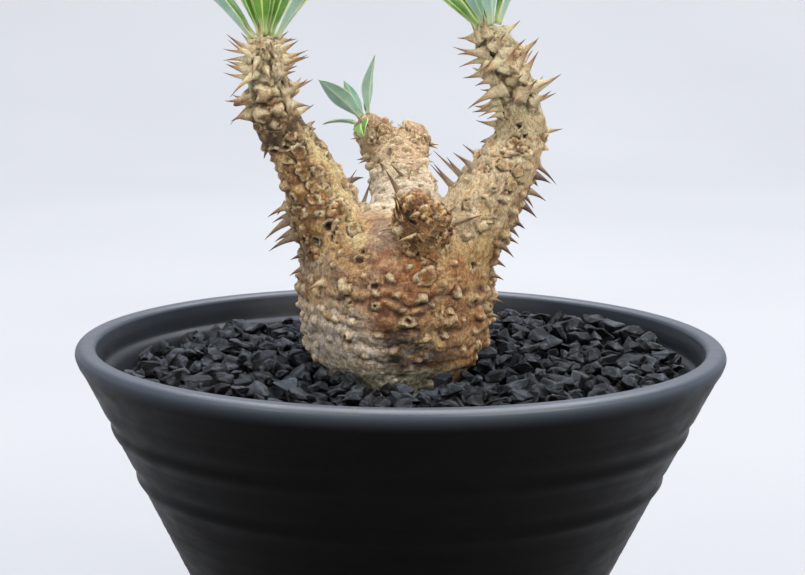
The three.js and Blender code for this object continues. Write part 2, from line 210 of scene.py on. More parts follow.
def turned(profile, sides, closed=False):
    """Vertices and faces of a list of (radius, height) turned about Z; closed joins its end to its start."""
    turn = np.linspace(0, 2 * math.pi, sides, endpoint=False)
    radius, height = np.array(profile, float).T[:, :, None]
    vertices = np.stack([radius * np.cos(turn), radius * np.sin(turn), height + 0 * turn], axis=-1)
    vertices = vertices.reshape(-1, 3)
    faces = grid_faces(len(profile) + closed, sides)
    return vertices, [tuple(i % len(vertices) for i in face) for face in faces]


class Pile:
    """Closed bodies gathered to become one object."""

    def __init__(self):
        self.vertices, self.faces, self.values, self.count = [], [], [], 0

    def add(self, vertices, faces, *values):
        """Each of values is one number for all the vertices, or one for each."""
        self.vertices.append(vertices)
        self.faces += [[self.count + i for i in face] for face in faces]
        self.values.append([np.broadcast_to(v, len(vertices)) for v in values])
        self.count += len(vertices)

    def build(self, name, material, *names, smooth=True):
        obj = add_mesh(name, np.concatenate(self.vertices), self.faces, [material], smooth)
        for value_name, values in zip(names, zip(*self.values)):
            set_values(obj, value_name, np.concatenate(values))
        return obj


# ---------------------------------------------------------------- limbs


def smooth_line(points, steps=24):
    """A centripetal Catmull-Rom curve through the points, as many short steps."""
    points = np.array(points, float)
    ends = [2 * points[0] - points[1], *points, 2 * points[-1] - points[-2]]
    line = []
    for a, b, c, d in zip(ends, ends[1:], ends[2:], ends[3:]):
        gaps = [max(np.linalg.norm(q - p), 1e-6) ** 0.5 for p, q in ((a, b), (b, c), (c, d))]
        t0, t1, t2, t3 = np.cumsum([0, *gaps])
        for t in np.linspace(t1, t2, steps, endpoint=False):
            ab = a + (b - a) * (t - t0) / (t1 - t0)
            bc = b + (c - b) * (t - t1) / (t2 - t1)
            cd = c + (d - c) * (t - t2) / (t3 - t2)
            abc = ab + (bc - ab) * (t - t0) / (t2 - t0)
            bcd = bc + (cd - bc) * (t - t1) / (t3 - t1)
            line.append(abc + (bcd - abc) * (t - t1) / (t2 - t1))
    return np.array([*line, points[-1]])


class Limb:
    """A branch: a curved centre line, heights from the lip, and a radius along it."""

    def __init__(self, points, radii):
        self.line = smooth_line(points) + LIP
        steps = np.linalg.norm(np.diff(self.line, axis=0), axis=1)
        self.length = steps.sum()
        self.shares = np.concatenate([[0], np.cumsum(steps)]) / self.length
        self.radii = radii

    def at(self, share):
        return np.array([np.interp(share, self.shares, self.line[:, i]) for i in range(3)])

    def axes(self, share):
        """Directions at a share of the length: along it, out towards +X, and across."""
        along = unit(self.at(min(share + 0.01, 1)) - self.at(max(share - 0.01, 0)))
        out = unit(np.cross((0, 1, 0), along))
        return along, out, np.cross(out, along)

    def rod(self, share):
        return np.interp(share, np.linspace(0, 1, len(self.radii)), self.radii)

    def radius(self, share):
        """With the dome at the tip."""
        rise = max(0, (share - 1) * self.length / self.radii[-1] + 1)
        return self.rod(share) * math.sqrt(max(0, 1 - rise * rise))

    def skin(self, share, turn):
        """A point on the surface, and the direction straight out of it."""
        _, out, across = self.axes(share)
        away = swing(out, across, turn)
        return self.at(share) + away * self.radius(share), away

    def tube(self, rings=60, sides=32):
        dome = self.radii[-1] / self.length
        shares = [*np.linspace(0, 1 - dome, rings), *(1 - dome + dome * np.sin(np.radians((30, 55, 75, 89))))]
        turns = np.linspace(0, 2 * math.pi, sides, endpoint=False)
        vertices = np.concatenate([[self.skin(share, turn)[0] for turn in turns] for share in shares])
        faces = [tuple(reversed(face)) for face in grid_faces(len(shares), sides)]
        first = list(range(sides))
        last = [len(vertices) - sides + i for i in range(sides)]
        return vertices, [*faces, first, list(reversed(last))]


LIMBS = {
    "left": Limb(
        [(-6, -1, 8), (-13.5, -3, 22), (-18, -4.5, 31), (-22.6, -5.2, 41.5), (-28, -5.5, 50),
         (-30.6, -5, 60), (-31.4, -5, 70.5)],
        [11, 10, 8.5, 6.7, 5.4, 5.1, 4.7],
    ),
    "right": Limb(
        [(5, -1, 8), (12, -3, 21), (18.6, -5, 33), (23.6, -5.5, 41), (26.8, -5.5, 47.5), (26, -5, 55),
         (22.2, -5, 64.5), (17.8, -5, 73.2)],
        [11, 10, 9, 7.5, 6.1, 5.5, 5.2, 4.7],
    ),
    "back": Limb(
        [(0, 2, 10), (1, 12, 22), (1, 26, 29), (-1, 40, 35), (-2.5, 47, 40)],
        [13, 12, 8.6, 7.6, 6.6],
    ),
    "back_left": Limb([(-1, 42, 35), (-6, 47.6, 41.2), (-10.6, 49.6, 48.4)], [6, 5.2, 3.6]),
    "back_right": Limb([(-1, 42, 35), (2.4, 48, 41.5), (4, 50, 46)], [6, 5.2, 4.2]),
    "stub": Limb([(3, -8, 18), (4.4, -15, 28), (5, -18, 35.5)], [8, 6, 5.2]),
}

CAUDEX_OUTLINE = (
    (0, -14), (11, -13.5), (13.5, -11), (17.6, -6), (19.6, -3.4), (20.8, -0.6), (21.6, 4), (22.1, 9),
    (22.4, 14), (22, 19.5), (19, 25.5), (13, 29.5), (6, 31.5), (0, 32),
)  # fmt: skip
TAPROOT_OUTLINE = ((0, -56), (2, -56), (3.5, -49), (6, -40), (9, -30), (12.5, -20), (14, -12), (0, -12))


def caudex_mesh():
    vertices, faces = turned(CAUDEX_OUTLINE, 64)
    angle = np.arctan2(vertices[:, 1], vertices[:, 0])
    swell = 1 + 0.012 * np.sin(5 * angle + 0.3 * vertices[:, 2]) + 0.01 * np.sin(2 * angle + 1)
    vertices[:, 0] = vertices[:, 0] * swell + CAUDEX_CENTRE[0]
    vertices[:, 1] = vertices[:, 1] * swell * CAUDEX_DEPTH + CAUDEX_CENTRE[1]
    return vertices + LIP, faces


def bark_form():
    """The plant without its marks: caudex, taproot and limbs melted into one skin of even quads."""
    pile = Pile()
    pile.add(*caudex_mesh())
    taproot, faces = turned(TAPROOT_OUTLINE, 24)
    pile.add(taproot + LIP, faces)
    for limb in LIMBS.values():
        pile.add(*limb.tube())
    vertices = np.concatenate(pile.vertices)
    size = BARK_VOXEL * MM
    vertices, quads = modified("bark_form", vertices, pile.faces, "REMESH", mode="VOXEL", voxel_size=size)
    melted = soften(vertices, quads, MELTING_ROUNDS)
    return modified("bark_fine", melted, quads, "SUBSURF", levels=1, render_levels=1)


# ---------------------------------------------------------------- marks in the bark

# Each kind of mark, for one of 1.5 mm radius: how high it stands, how far out its top is level, how deep
# the groove round it is, how deep its hollow goes, how far out the hollow reaches, and how dark its hollow is
# painted, as shade.
MARKS = {
    "nub": (1.25, 0.2, 0.15, 0.0, 0.5, 0.0),
    "knob": (2.1, 0.35, 0.2, 0.0, 0.5, 0.0),
    "open": (1.2, 0.3, 0.2, 1.1, 0.42, 0.9),
    "crater": (0.6, 0.7, 0.35, 0.5, 0.8, 0.25),
    "ring": (0.5, 0.8, 0.75, 0.5, 0.86, 0.22),
    "pit": (0.3, 0.6, 0.2, 1.8, 0.72, 1.0),
    "foot": (1.5, 0.1, 0.0, 0.0, 0.5, 0.0),
}

# The marks on the front: kind, place across and above the lip, and how far they reach across and up.
FRONT_MARKS = (
    ("knob", -12.5, 15, 1.7, 1.4), ("open", -11.8, 11.6, 1.5, 1.2), ("nub", -10.9, 7.2, 1.3, 1.2),
    ("open", -11.8, 3.8, 1.2, 1.1), ("nub", -5.4, 13.9, 1.1, 0.8), ("open", -5.6, 11.4, 1.4, 1.1),
    ("pit", -6.3, 15.6, 1.2, 1.0), ("nub", -2.3, 17.4, 1.5, 0.9), ("nub", -4.9, 4.6, 1.3, 0.8),
    ("knob", 4.8, 13.2, 1.4, 1.3), ("knob", 12.4, 13.4, 1.4, 1.2), ("open", 1.6, 7.8, 2.1, 1.6),
    ("crater", 10.3, 8.2, 2.3, 2.2), ("knob", 9.8, 4.2, 1.2, 0.9), ("nub", 16.5, 4, 1.3, 1.1),
    ("open", 16.3, 11.3, 1.5, 1.4), ("pit", 16.5, 19.5, 1.3, 1.3), ("nub", 19.2, 13.7, 1.5, 1.2),
    ("nub", 9.7, 15.8, 0.9, 0.7), ("crater", 5.6, 17.8, 2.5, 2.1), ("nub", 1.8, 23.2, 1.4, 1.0),
    ("open", 9.9, 23.9, 1.5, 1.5), ("pit", -9.2, 21.4, 1.3, 1.2), ("nub", -15.3, 19.5, 1.0, 0.8),
    ("nub", -19.2, 13.2, 1.4, 1.1), ("nub", -18.0, 9.4, 1.3, 1.0), ("crater", -19.8, 21.3, 2.4, 2.2),
    ("pit", -19.3, 24.4, 1.5, 1.4), ("pit", -22.2, 24.8, 1.3, 1.4), ("pit", -16.6, 28.2, 1.6, 1.4),
    ("ring", -10.8, 27.6, 1.3, 1.8), ("nub", 19.6, 5.5, 1.2, 1.0), ("nub", 11.9, 20.4, 1.0, 0.8),
    ("nub", 5.4, 3.4, 1.2, 0.8), ("nub", -1.5, 1.0, 1.4, 0.8), ("nub", 13.8, 0.6, 1.3, 0.9),
    ("nub", -16, 2.4, 1.2, 0.9), ("nub", 4, -1.2, 1.2, 0.8), ("nub", -8, -0.6, 1.3, 0.8),
    ("nub", 18.3, 17, 1.0, 0.9), ("nub", -14.6, 7.2, 1.0, 0.8), ("nub", 6.9, 11.3, 1.0, 0.7),
    ("nub", -1.0, 13.9, 0.9, 0.7), ("pit", -8.6, 23.2, 0.6, 0.5), ("nub", 13.9, 7.4, 1.0, 0.9),
    ("nub", 1.7, 19.9, 1.1, 0.7), ("nub", -8.2, 17.9, 1.0, 0.7), ("nub", -13.5, 22.4, 1.0, 0.8),
    ("nub", 12.9, 17.0, 0.8, 0.7), ("nub", 0.5, 10.6, 0.9, 0.7),
    # the left branch
    ("pit", -29.0, 44.6, 1.8, 1.1), ("pit", -26.4, 45.2, 1.3, 0.8), ("pit", -28.4, 42.2, 1.0, 0.8),
    ("ring", -23.0, 44.5, 1.6, 1.5), ("open", -21.4, 48.8, 1.3, 1.6), ("ring", -22.5, 39.7, 2.0, 1.4),
    ("ring", -18.9, 40.2, 1.5, 1.4), ("open", -27.4, 39.9, 1.0, 0.9), ("ring", -20.2, 37.0, 1.9, 1.2),
    ("open", -17.0, 36.1, 1.2, 1.4), ("nub", -26.4, 36.6, 1.4, 1.6), ("pit", -24.5, 34.0, 1.1, 1.3),
    ("ring", -19.6, 34.0, 1.7, 1.2), ("ring", -22.8, 30.7, 1.9, 1.2), ("open", -18.5, 30.7, 1.4, 1.1),
    ("ring", -14.5, 31.6, 2.0, 2.3), ("nub", -14.0, 41.0, 1.0, 0.9), ("nub", -9.6, 36.2, 1.4, 1.8),
    ("ring", -13.0, 36.5, 1.0, 1.3), ("ring", -25.8, 42.6, 1.2, 1.0), ("nub", -22.2, 27.4, 1.3, 1.1),
    ("ring", -25.2, 48.0, 1.4, 1.0), ("ring", -14.2, 25.4, 1.4, 1.2), ("knob", -30.5, 57.5, 2.5, 2.1),
    ("knob", -31.5, 53.0, 2.0, 1.9), ("knob", -27.7, 54.0, 1.8, 1.6), ("knob", -34.3, 56.0, 1.6, 1.6),
    ("knob", -24.6, 57.8, 1.1, 1.6), ("pit", -26.5, 59.5, 1.1, 1.2), ("nub", -28.6, 50.4, 1.4, 1.2),
    ("crater", -32.1, 68.3, 1.6, 1.1),
    # the right branch
    ("pit", 25.9, 50.5, 1.2, 1.0), ("pit", 27.2, 48.4, 1.1, 0.9), ("open", 22.6, 53.6, 1.2, 1.5),
    ("nub", 16.4, 44.0, 1.5, 1.2), ("ring", 23.0, 42.1, 1.7, 1.4), ("ring", 25.6, 40.4, 1.4, 1.2),
    ("ring", 22.4, 39.4, 1.5, 1.0), ("ring", 24.6, 37.4, 1.7, 1.4), ("open", 20.4, 37.0, 1.2, 1.1),
    ("open", 18.5, 34.6, 1.4, 1.4), ("knob", 23.0, 34.6, 1.5, 1.2), ("nub", 28.0, 44.4, 1.1, 1.2),
    ("nub", 28.4, 41.6, 1.1, 1.1), ("nub", 18.4, 28.6, 1.8, 1.4), ("ring", 21.4, 31.4, 1.5, 1.2),
    ("ring", 14.6, 33.0, 1.4, 1.1), ("nub", 14.5, 26.2, 1.1, 0.9), ("ring", 18.4, 41.2, 1.3, 1.0),
    ("nub", 25.2, 31.4, 1.5, 1.3), ("ring", 24.7, 47.2, 1.5, 0.8), ("ring", 26.2, 45.4, 1.6, 0.8),
    ("ring", 23.6, 45.2, 1.4, 0.7), ("nub", 14.4, 38.4, 1.1, 0.9), ("nub", 27.2, 35.2, 1.3, 1.3),
)  # fmt: skip

# Single spines at the front and the edges: foot across and above the lip, tip likewise, how far the tip
# comes forward, radius at the foot, and age from 0, pale, to 1, dark.
FRONT_SPINES = (
    (-25.6, 31.6, -30.4, 29.4, 1.5, 1.1, 0.55), (-27, 29, -29.6, 27.6, 0, 0.8, 0.6),
    (-25.4, 28.2, -31.2, 24, 2.5, 1.35, 0.6), (-24.4, 25.6, -29, 23.4, 1.5, 1.1, 0.5),
    (-24, 24.4, -30.2, 21.4, 2.5, 1.3, 0.7), (-23.4, 20, -25.4, 19.2, 1, 0.8, 0.9),
    (-22.8, 17, -25.6, 15.6, 1, 0.8, 0.6), (-17.5, 15.4, -21.4, 13.6, 2, 0.9, 0.25),
    (-8, 32.8, -7, 38, -0.4, 0.6, 0.9), (-11.4, 37.4, -10.4, 40, -0.4, 0.4, 0.8),
    (-0.6, 33, -4, 38.6, 1, 1.0, 0.8), (0.2, 35.8, -3, 39, 1, 0.55, 0.9), (1.4, 35.4, 2.1, 38, 1, 0.4, 0.1),
    (11, 28.6, 18, 31, 2, 0.75, 0.75), (10, 31, 12.2, 32.4, 1, 0.35, 0.5),
    (9.6, 37.8, 7, 41.6, 0, 0.8, 0.75), (9, 38, 6.2, 41.4, -0.8, 0.6, 0.5),
    (12.6, 39.4, 10, 43, 0, 0.8, 0.7), (12.2, 39.6, 7, 44.4, -0.8, 0.7, 0.6),
    (16, 41, 12.5, 43.6, 0, 1.1, 0.8), (15.5, 41.4, 11.4, 44, -1, 0.8, 0.4),
    (16.8, 43.6, 13.5, 46, 0, 0.6, 0.7), (30.8, 41, 35, 37, 0.5, 0.7, 0.9),
    (30, 38.8, 33.6, 37.4, 1.5, 1.3, 0.95), (29.4, 34.9, 32.6, 33.4, 1.5, 1.1, 0.6),
    (28, 32, 30.6, 29.5, 1.5, 1.3, 1.0), (25.6, 28.4, 28, 27, 1.5, 1.2, 0.9),
    (24, 24.6, 26.6, 23.4, 1, 0.9, 0.8), (22, 23.6, 25.4, 20.8, 1.5, 1.1, 0.9),
    (21.8, 19, 23.8, 18, 1, 0.9, 0.8), (21.6, 16, 23.4, 15, 1, 0.8, 0.7),
    (21.6, 10.2, 23.6, 9.6, 1, 0.8, 0.7), (21.2, 6.4, 23, 6.2, 1, 0.8, 0.6),
    (17.4, 28.6, 20.6, 29.2, 2, 1.0, 0.7), (4, 27, -1.8, 25.4, 1.5, 0.7, 0.0),
    (-1.6, 28, -5, 27.4, 1, 0.4, 0.6), (8.6, 34, 10.6, 30.4, 1, 0.5, 0.5),
    (2, 36.2, 4.4, 31.6, 1.5, 0.7, 0.2),
)  # fmt: skip

# The spines of the two heads: foot and tip as above, how far the tip comes forward, and radius.
HEAD_SPINES = (
    (-34, 67, -39.5, 70.4, 0.5, 1.3), (-34, 66, -39, 69.2, 2, 1.1), (-34.4, 66.8, -40.5, 67, -1.5, 1.0),
    (-34.4, 64.6, -40.4, 64.4, -1, 1.1), (-34.4, 62.6, -39.6, 63.8, 1, 1.7),
    (-34.4, 61, -40.4, 61.8, -1, 1.1), (-33.4, 61.4, -38.4, 56.6, 4, 1.1), (-34.4, 55.6, -38, 54.6, 2, 1.6),
    (-37.4, 53.4, -39, 50, 1, 0.6), (-33.8, 52.6, -38.6, 51, 1.5, 1.8), (-28, 67, -23.4, 69.2, 2, 1.4),
    (-28, 65.4, -21.4, 67, 0, 1.3), (-28, 64.4, -21.4, 66, 2, 1.2), (-28, 63, -23.6, 63.6, 2, 1.5),
    (-28, 62, -24, 62.4, 1, 1.4), (-26.4, 57.6, -21.4, 60.6, 0, 1.2), (-25.4, 54.6, -20.8, 54.5, 0.5, 1.5),
    (-28.8, 66.6, -29.6, 68.9, 2.5, 1.0), (-32.6, 64.6, -33.6, 61, 3, 0.9),
    (-34, 56.6, -36.2, 55.4, 2.5, 0.9), (-31.8, 69.4, -32.4, 73, 0.8, 0.6), (-33.6, 69.4, -36, 73, 0, 1.0),
    (-34, 68.6, -36.6, 70.6, -2, 0.9), (-28.6, 69.4, -26, 71, -1.5, 0.9),
    (-28.2, 68.4, -25, 69.6, -1.5, 0.9), (-30.6, 62.6, -29.4, 60.2, 3, 0.8),
    (-30.4, 65.6, -31.2, 67.6, 2.6, 0.8), (18.4, 71, 17.5, 75.4, 1.5, 1.3), (17, 70, 14.9, 73.4, 1.5, 1.1),
    (20, 68.2, 22.6, 71.4, 2, 1.4), (16.4, 69.4, 14, 69.6, 1, 1.0), (17.8, 67, 11, 68, -1.5, 1.2),
    (18, 66.4, 12, 66.4, 1.5, 1.7), (18, 65, 12.4, 63.4, -1.5, 1.1), (22.4, 66.6, 27, 70, 1, 1.7),
    (22.6, 64, 24.6, 68, 3, 2.0), (24.4, 63.6, 28.4, 68.2, -1.5, 2.0), (26, 61.6, 30, 67.4, 0.5, 1.9),
    (21.6, 64.8, 17.3, 61.8, 4, 2.0), (19, 65, 17, 62.4, 3, 1.1), (20.4, 60.8, 16, 59.4, 0.5, 1.6),
    (22, 58.4, 14.4, 54.4, 1, 1.9), (21.6, 55.8, 17.4, 54, -1, 1.1), (22, 54.4, 17, 52.4, -1, 1.0),
    (22, 53, 18.8, 52, 0.5, 1.0), (26.4, 57.8, 29.6, 61.2, 3, 1.8), (26, 57.8, 24.4, 55.8, 3.5, 1.5),
    (29, 56.2, 33, 58.6, 1, 1.4), (29.4, 56.6, 34.4, 58, -1.5, 1.2), (28, 59.2, 33, 60.6, -2, 1.5),
    (24.2, 60.8, 26.4, 62.4, 4, 1.2),
)  # fmt: skip

# Single old spines: limb, between which shares of it, how many, from which turn on and how long.
STRAY_SPINES = (
    ("left", 0.3, 0.66, 16, math.pi, 1.0),
    ("right", 0.3, 0.6, 22, math.pi, 1.0),
    ("back", 0.5, 0.95, 6, 0, 0.6),
)
BASE_SPINES = 16  # small spines on the far side of the base
MARK_PLACES = 3600  # how many places are tried for the marks behind the front


def tangent_axes(normal):
    """Two directions in the surface: the steepest way up it, and level."""
    level = np.cross((0, 0, 1), normal)
    level = unit(level) if np.linalg.norm(level) > 0.05 else np.array([1.0, 0, 0])
    return np.cross(normal, level), level


def front_hit(tree, across, above):
    """Where a level line from the front meets the bark and the bark's direction there, or the nearest."""
    start = Vector((across, -120, above + POT_HEIGHT))
    place, normal, _, _ = tree.ray_cast(start, Vector((0, 1, 0)))
    if place is None:
        place, normal, _, _ = tree.find_nearest(Vector((across, -5, above + POT_HEIGHT)))
    return np.array(place), np.array(normal)


def scattered_marks(vertices, normals, taken):
    """Marks on the sides and the back, kept apart from each other and from the marks on the front."""
    rng = np.random.default_rng(21)
    above = vertices[:, 2] - POT_HEIGHT
    # from the stones up to the heads, behind the front or facing sideways, and not on the back branch's tip
    eligible = (above > -5) & (above < 50) & ((vertices[:, 1] > -7.5) | (np.abs(normals[:, 0]) > 0.8))
    eligible &= (above < 47) | (vertices[:, 1] < 25)
    marks = []
    places = [place for _, place, _, _, _ in taken]
    for i in rng.permutation(np.flatnonzero(eligible))[:MARK_PLACES]:
        place = vertices[i]
        if np.min(np.linalg.norm(np.array(places) - place, axis=1)) < rng.uniform(2.6, 4.0):
            continue
        on_limb = above[i] > 27
        kinds = ("ring", "open", "nub", "pit") if on_limb else ("nub", "nub", "nub", "open")
        size = rng.uniform(0.8, 1.5)
        marks.append((kinds[rng.integers(4)], place, normals[i], size * rng.uniform(1, 1.3), size))
        places.append(place)
    return marks


def head_nodes():
    """Where spines stand on the far side of the young wood, in a spiral: limb, share, turn, spine length."""
    nodes = []
    for name, count, low, high, length in (
        ("left", 24, 0.69, 0.975, 4.6),
        ("right", 26, 0.62, 0.975, 5.2),
        ("back_left", 8, 0.4, 0.8, 1.7),
        ("back_right", 8, 0.35, 0.9, 1.8),
    ):
        for i in range(count):
            share = low + (high - low) * i / (count - 1)
            turn = i * GOLDEN_TURN + 0.6
            if name.startswith("back") or math.sin(turn) < -0.1:
                nodes.append((LIMBS[name], share, turn, length * (1.05 - 0.35 * (i / count) ** 3)))
    return nodes


def all_marks(vertices, quads, normals):
    """Every mark as kind, place, direction and reach across and up. Also the tree to stand spines on."""
    tree = BVHTree.FromPolygons(vertices.tolist(), quads.tolist())
    marks = [(kind, *front_hit(tree, x, z), wide, tall) for kind, x, z, wide, tall in FRONT_MARKS]
    marks += scattered_marks(vertices, normals, marks)
    for limb, share, turn, length in head_nodes():
        marks.append(("foot", *limb.skin(share, turn), 0.46 * length, 0.46 * length))
    for kind, spines in (("foot", HEAD_SPINES), ("nub", FRONT_SPINES)):
        for x, z, _, _, _, radius, *_ in spines:
            marks.append((kind, *front_hit(tree, x, z), 1.3 * radius, 1.3 * radius))
    return marks, tree


def press_marks(vertices, normals, marks):
    """How far each vertex rises for the marks, and how strongly it belongs to each family of colours, among
    them a painted shadow round each mark and painted shade in its hollow.
    """
    swellings, dips = np.zeros(len(vertices)), np.zeros(len(vertices))
    looks = {name: np.zeros(len(vertices)) for name in ("cap", "collar", "scar", "hole", "edge")}
    uneven = 1 + 0.24 * noise(vertices, 1.5, seed=2) + 0.18 * noise(vertices, 0.7, seed=3)
    rough = noise(vertices, 0.6, 2, seed=14)
    rng = np.random.default_rng(5)
    for kind, place, normal, wide, tall in marks:
        stand, level_top, groove, hollow, reach, dark = MARKS[kind]
        size = max(wide, tall)
        nearby = np.flatnonzero(np.linalg.norm(vertices - place, axis=1) < 2.0 * size)
        nearby = nearby[normals[nearby] @ normal > 0.1]
        offset = vertices[nearby] - place
        up, level = tangent_axes(normal)
        spin, slip_a, slip_b, lit = rng.uniform(-1, 1, 4) * (0.6, 0.22, 0.22, math.pi)
        luck = rng.uniform((0.7, 0.2, 0.5), (1.15, 1.5, 1.2))
        stand, groove, hollow = luck * (stand, groove, hollow)
        a = offset @ swing(up, level, spin) / tall
        b = offset @ swing(level, -up, spin) / wide
        away = np.hypot(a, b) * uneven[nearby]
        inner = np.hypot(a - slip_a, b - slip_b) * uneven[nearby]
        top = stand * (1 - ease(level_top, 1.15, away))
        dip = groove * bell(away, 1.15, 0.16) * (0.5 + 0.5 * np.sin(np.arctan2(a, b) + lit))
        dip += (hollow + 0.25 * hollow * rough[nearby]) * (1 - ease(0.4 * reach, reach, inner))
        scale = min(1.25, size / 1.5)
        swellings[nearby] = np.maximum(swellings[nearby], top * scale)
        dips[nearby] = np.maximum(dips[nearby], dip * scale)

        def show(name, strength, shown=nearby):
            looks[name][shown] = np.maximum(looks[name][shown], strength)

        # a painted shadow in a ring round the foot of each mark
        show("collar", 0.8 * band(away, 1.02, 1.22, 0.1))
        if dark:
            show("scar", 1 - ease(0.75, 1.1, away + 0.3 * rough[nearby]))
            # the hollow painted dark, as shade
            show("hole", dark * (1 - ease(0.55 * reach, 1.05 * reach, inner)))
            show("edge", band(away, 0.82, 0.98, 0.1) * np.clip(0.6 + np.sin(np.arctan2(a, b) - lit), 0, 1))
        else:
            show("cap", 1 - ease(0.15, 0.9, away))
    return swellings - dips, looks


def crown_of_stub(vertices):
    """1 on the crumbled top of the pruned stub, falling to 0 around it."""
    away = np.linalg.norm(vertices - LIMBS["stub"].at(0.9), axis=1)
    return 1 - ease(5.0, 7.6, away)


def crumbs(vertices, stub):
    """Rounded crumbs with sharp creases between them, where stub is above 0."""
    rise = np.zeros(len(vertices))
    chosen = np.flatnonzero(stub > 0)
    rng = np.random.default_rng(41)
    for size, height in ((1.6, 1.8), (0.75, 0.8)):
        count = int(2600 / size**3)
        seeds = LIMBS["stub"].at(0.85) + rng.uniform(-8.5, 8.5, (count, 3))
        nearest = np.full(len(chosen), 9.0)
        for seed in seeds:
            np.minimum(nearest, np.linalg.norm(vertices[chosen] - seed, axis=1), out=nearest)
        rise[chosen] += height * (0.55 - np.clip(nearest / size, 0, 1.1))
    return rise * stub


def along_limb(vertices, name):
    """Coordinates that run slowly along the middle of a branch and at full speed across it."""
    limb = LIMBS[name]
    way = unit(limb.at(0.75) - limb.at(0.35))
    return vertices - 0.82 * (vertices @ way)[:, None] * way


def base_bands(vertices):
    """The soft level folds round the base: 0 in their creases and 1 on their crests."""
    above = vertices[:, 2] - POT_HEIGHT
    warp = 2.2 * noise(vertices, 12, 2, seed=31) + 1.3 * noise(vertices, 4.5, 3, seed=32)
    return np.abs(np.sin(math.pi * (above + warp - 13.1) / 3.7)) ** 0.9


def fold_strength(vertices):
    """The folds come and go along the base."""
    return ease(-0.55, 0.45, noise(vertices * (1, 1, 1.7), 6, 2, seed=33)) * 0.85 + 0.15


def relief(vertices, stub):
    """The bark's own unevenness: lumps, folds round the base, striations on the branches and crumbs."""
    x, above = vertices[:, 0], vertices[:, 2] - POT_HEIGHT
    lumps = 0.3 * noise(vertices, 7, 2, seed=1) + 0.2 * noise(vertices, 2.4, 2, seed=4)
    lumps += 0.16 * np.abs(noise(vertices * (1, 1, 1.6), 1.3, 3, seed=5))
    lumps += 0.06 * noise(vertices, 0.9, 2, seed=15)
    folds = base_bands(vertices) - 0.6
    base = (1 - ease(12, 18, above)) * ease(-14, -9, above) * fold_strength(vertices)
    warp = vertices + 1.2 * noise(vertices, 5, 2, seed=9)[:, None]
    wrinkle = np.abs(noise(warp * (0.3, 0.3, 1), 2.0, 2, seed=6)) ** 0.7 - 0.5
    elbow = band(above, 43.5, 47.5, 2.5) * ease(8, 14, x)
    left = band(above, 27, 52, 5) * ease(-9, -14, x)
    right = band(above, 27, 48, 5) * ease(7, 12, x)
    streaks = left * noise(along_limb(vertices, "left"), 1.5, 2, seed=7)
    streaks += right * noise(along_limb(vertices, "right"), 1.5, 2, seed=8)
    slim = -0.5 * ease(51, 55, above) * (vertices[:, 1] < 22)
    peak = np.linalg.norm(vertices - LIP - (2.4, -15.5, 35.5), axis=1)
    dome = 2.4 * bell(peak, 0, 3.2) * stub
    branches = 0.9 * wrinkle * elbow + 0.35 * streaks + slim
    return lumps + 0.85 * folds * base + branches + dome + crumbs(vertices, stub)


BARK_WARMTH = (1.17, 1.11, 1.05)  # the whole bark's reds, greens and blues against the colours below


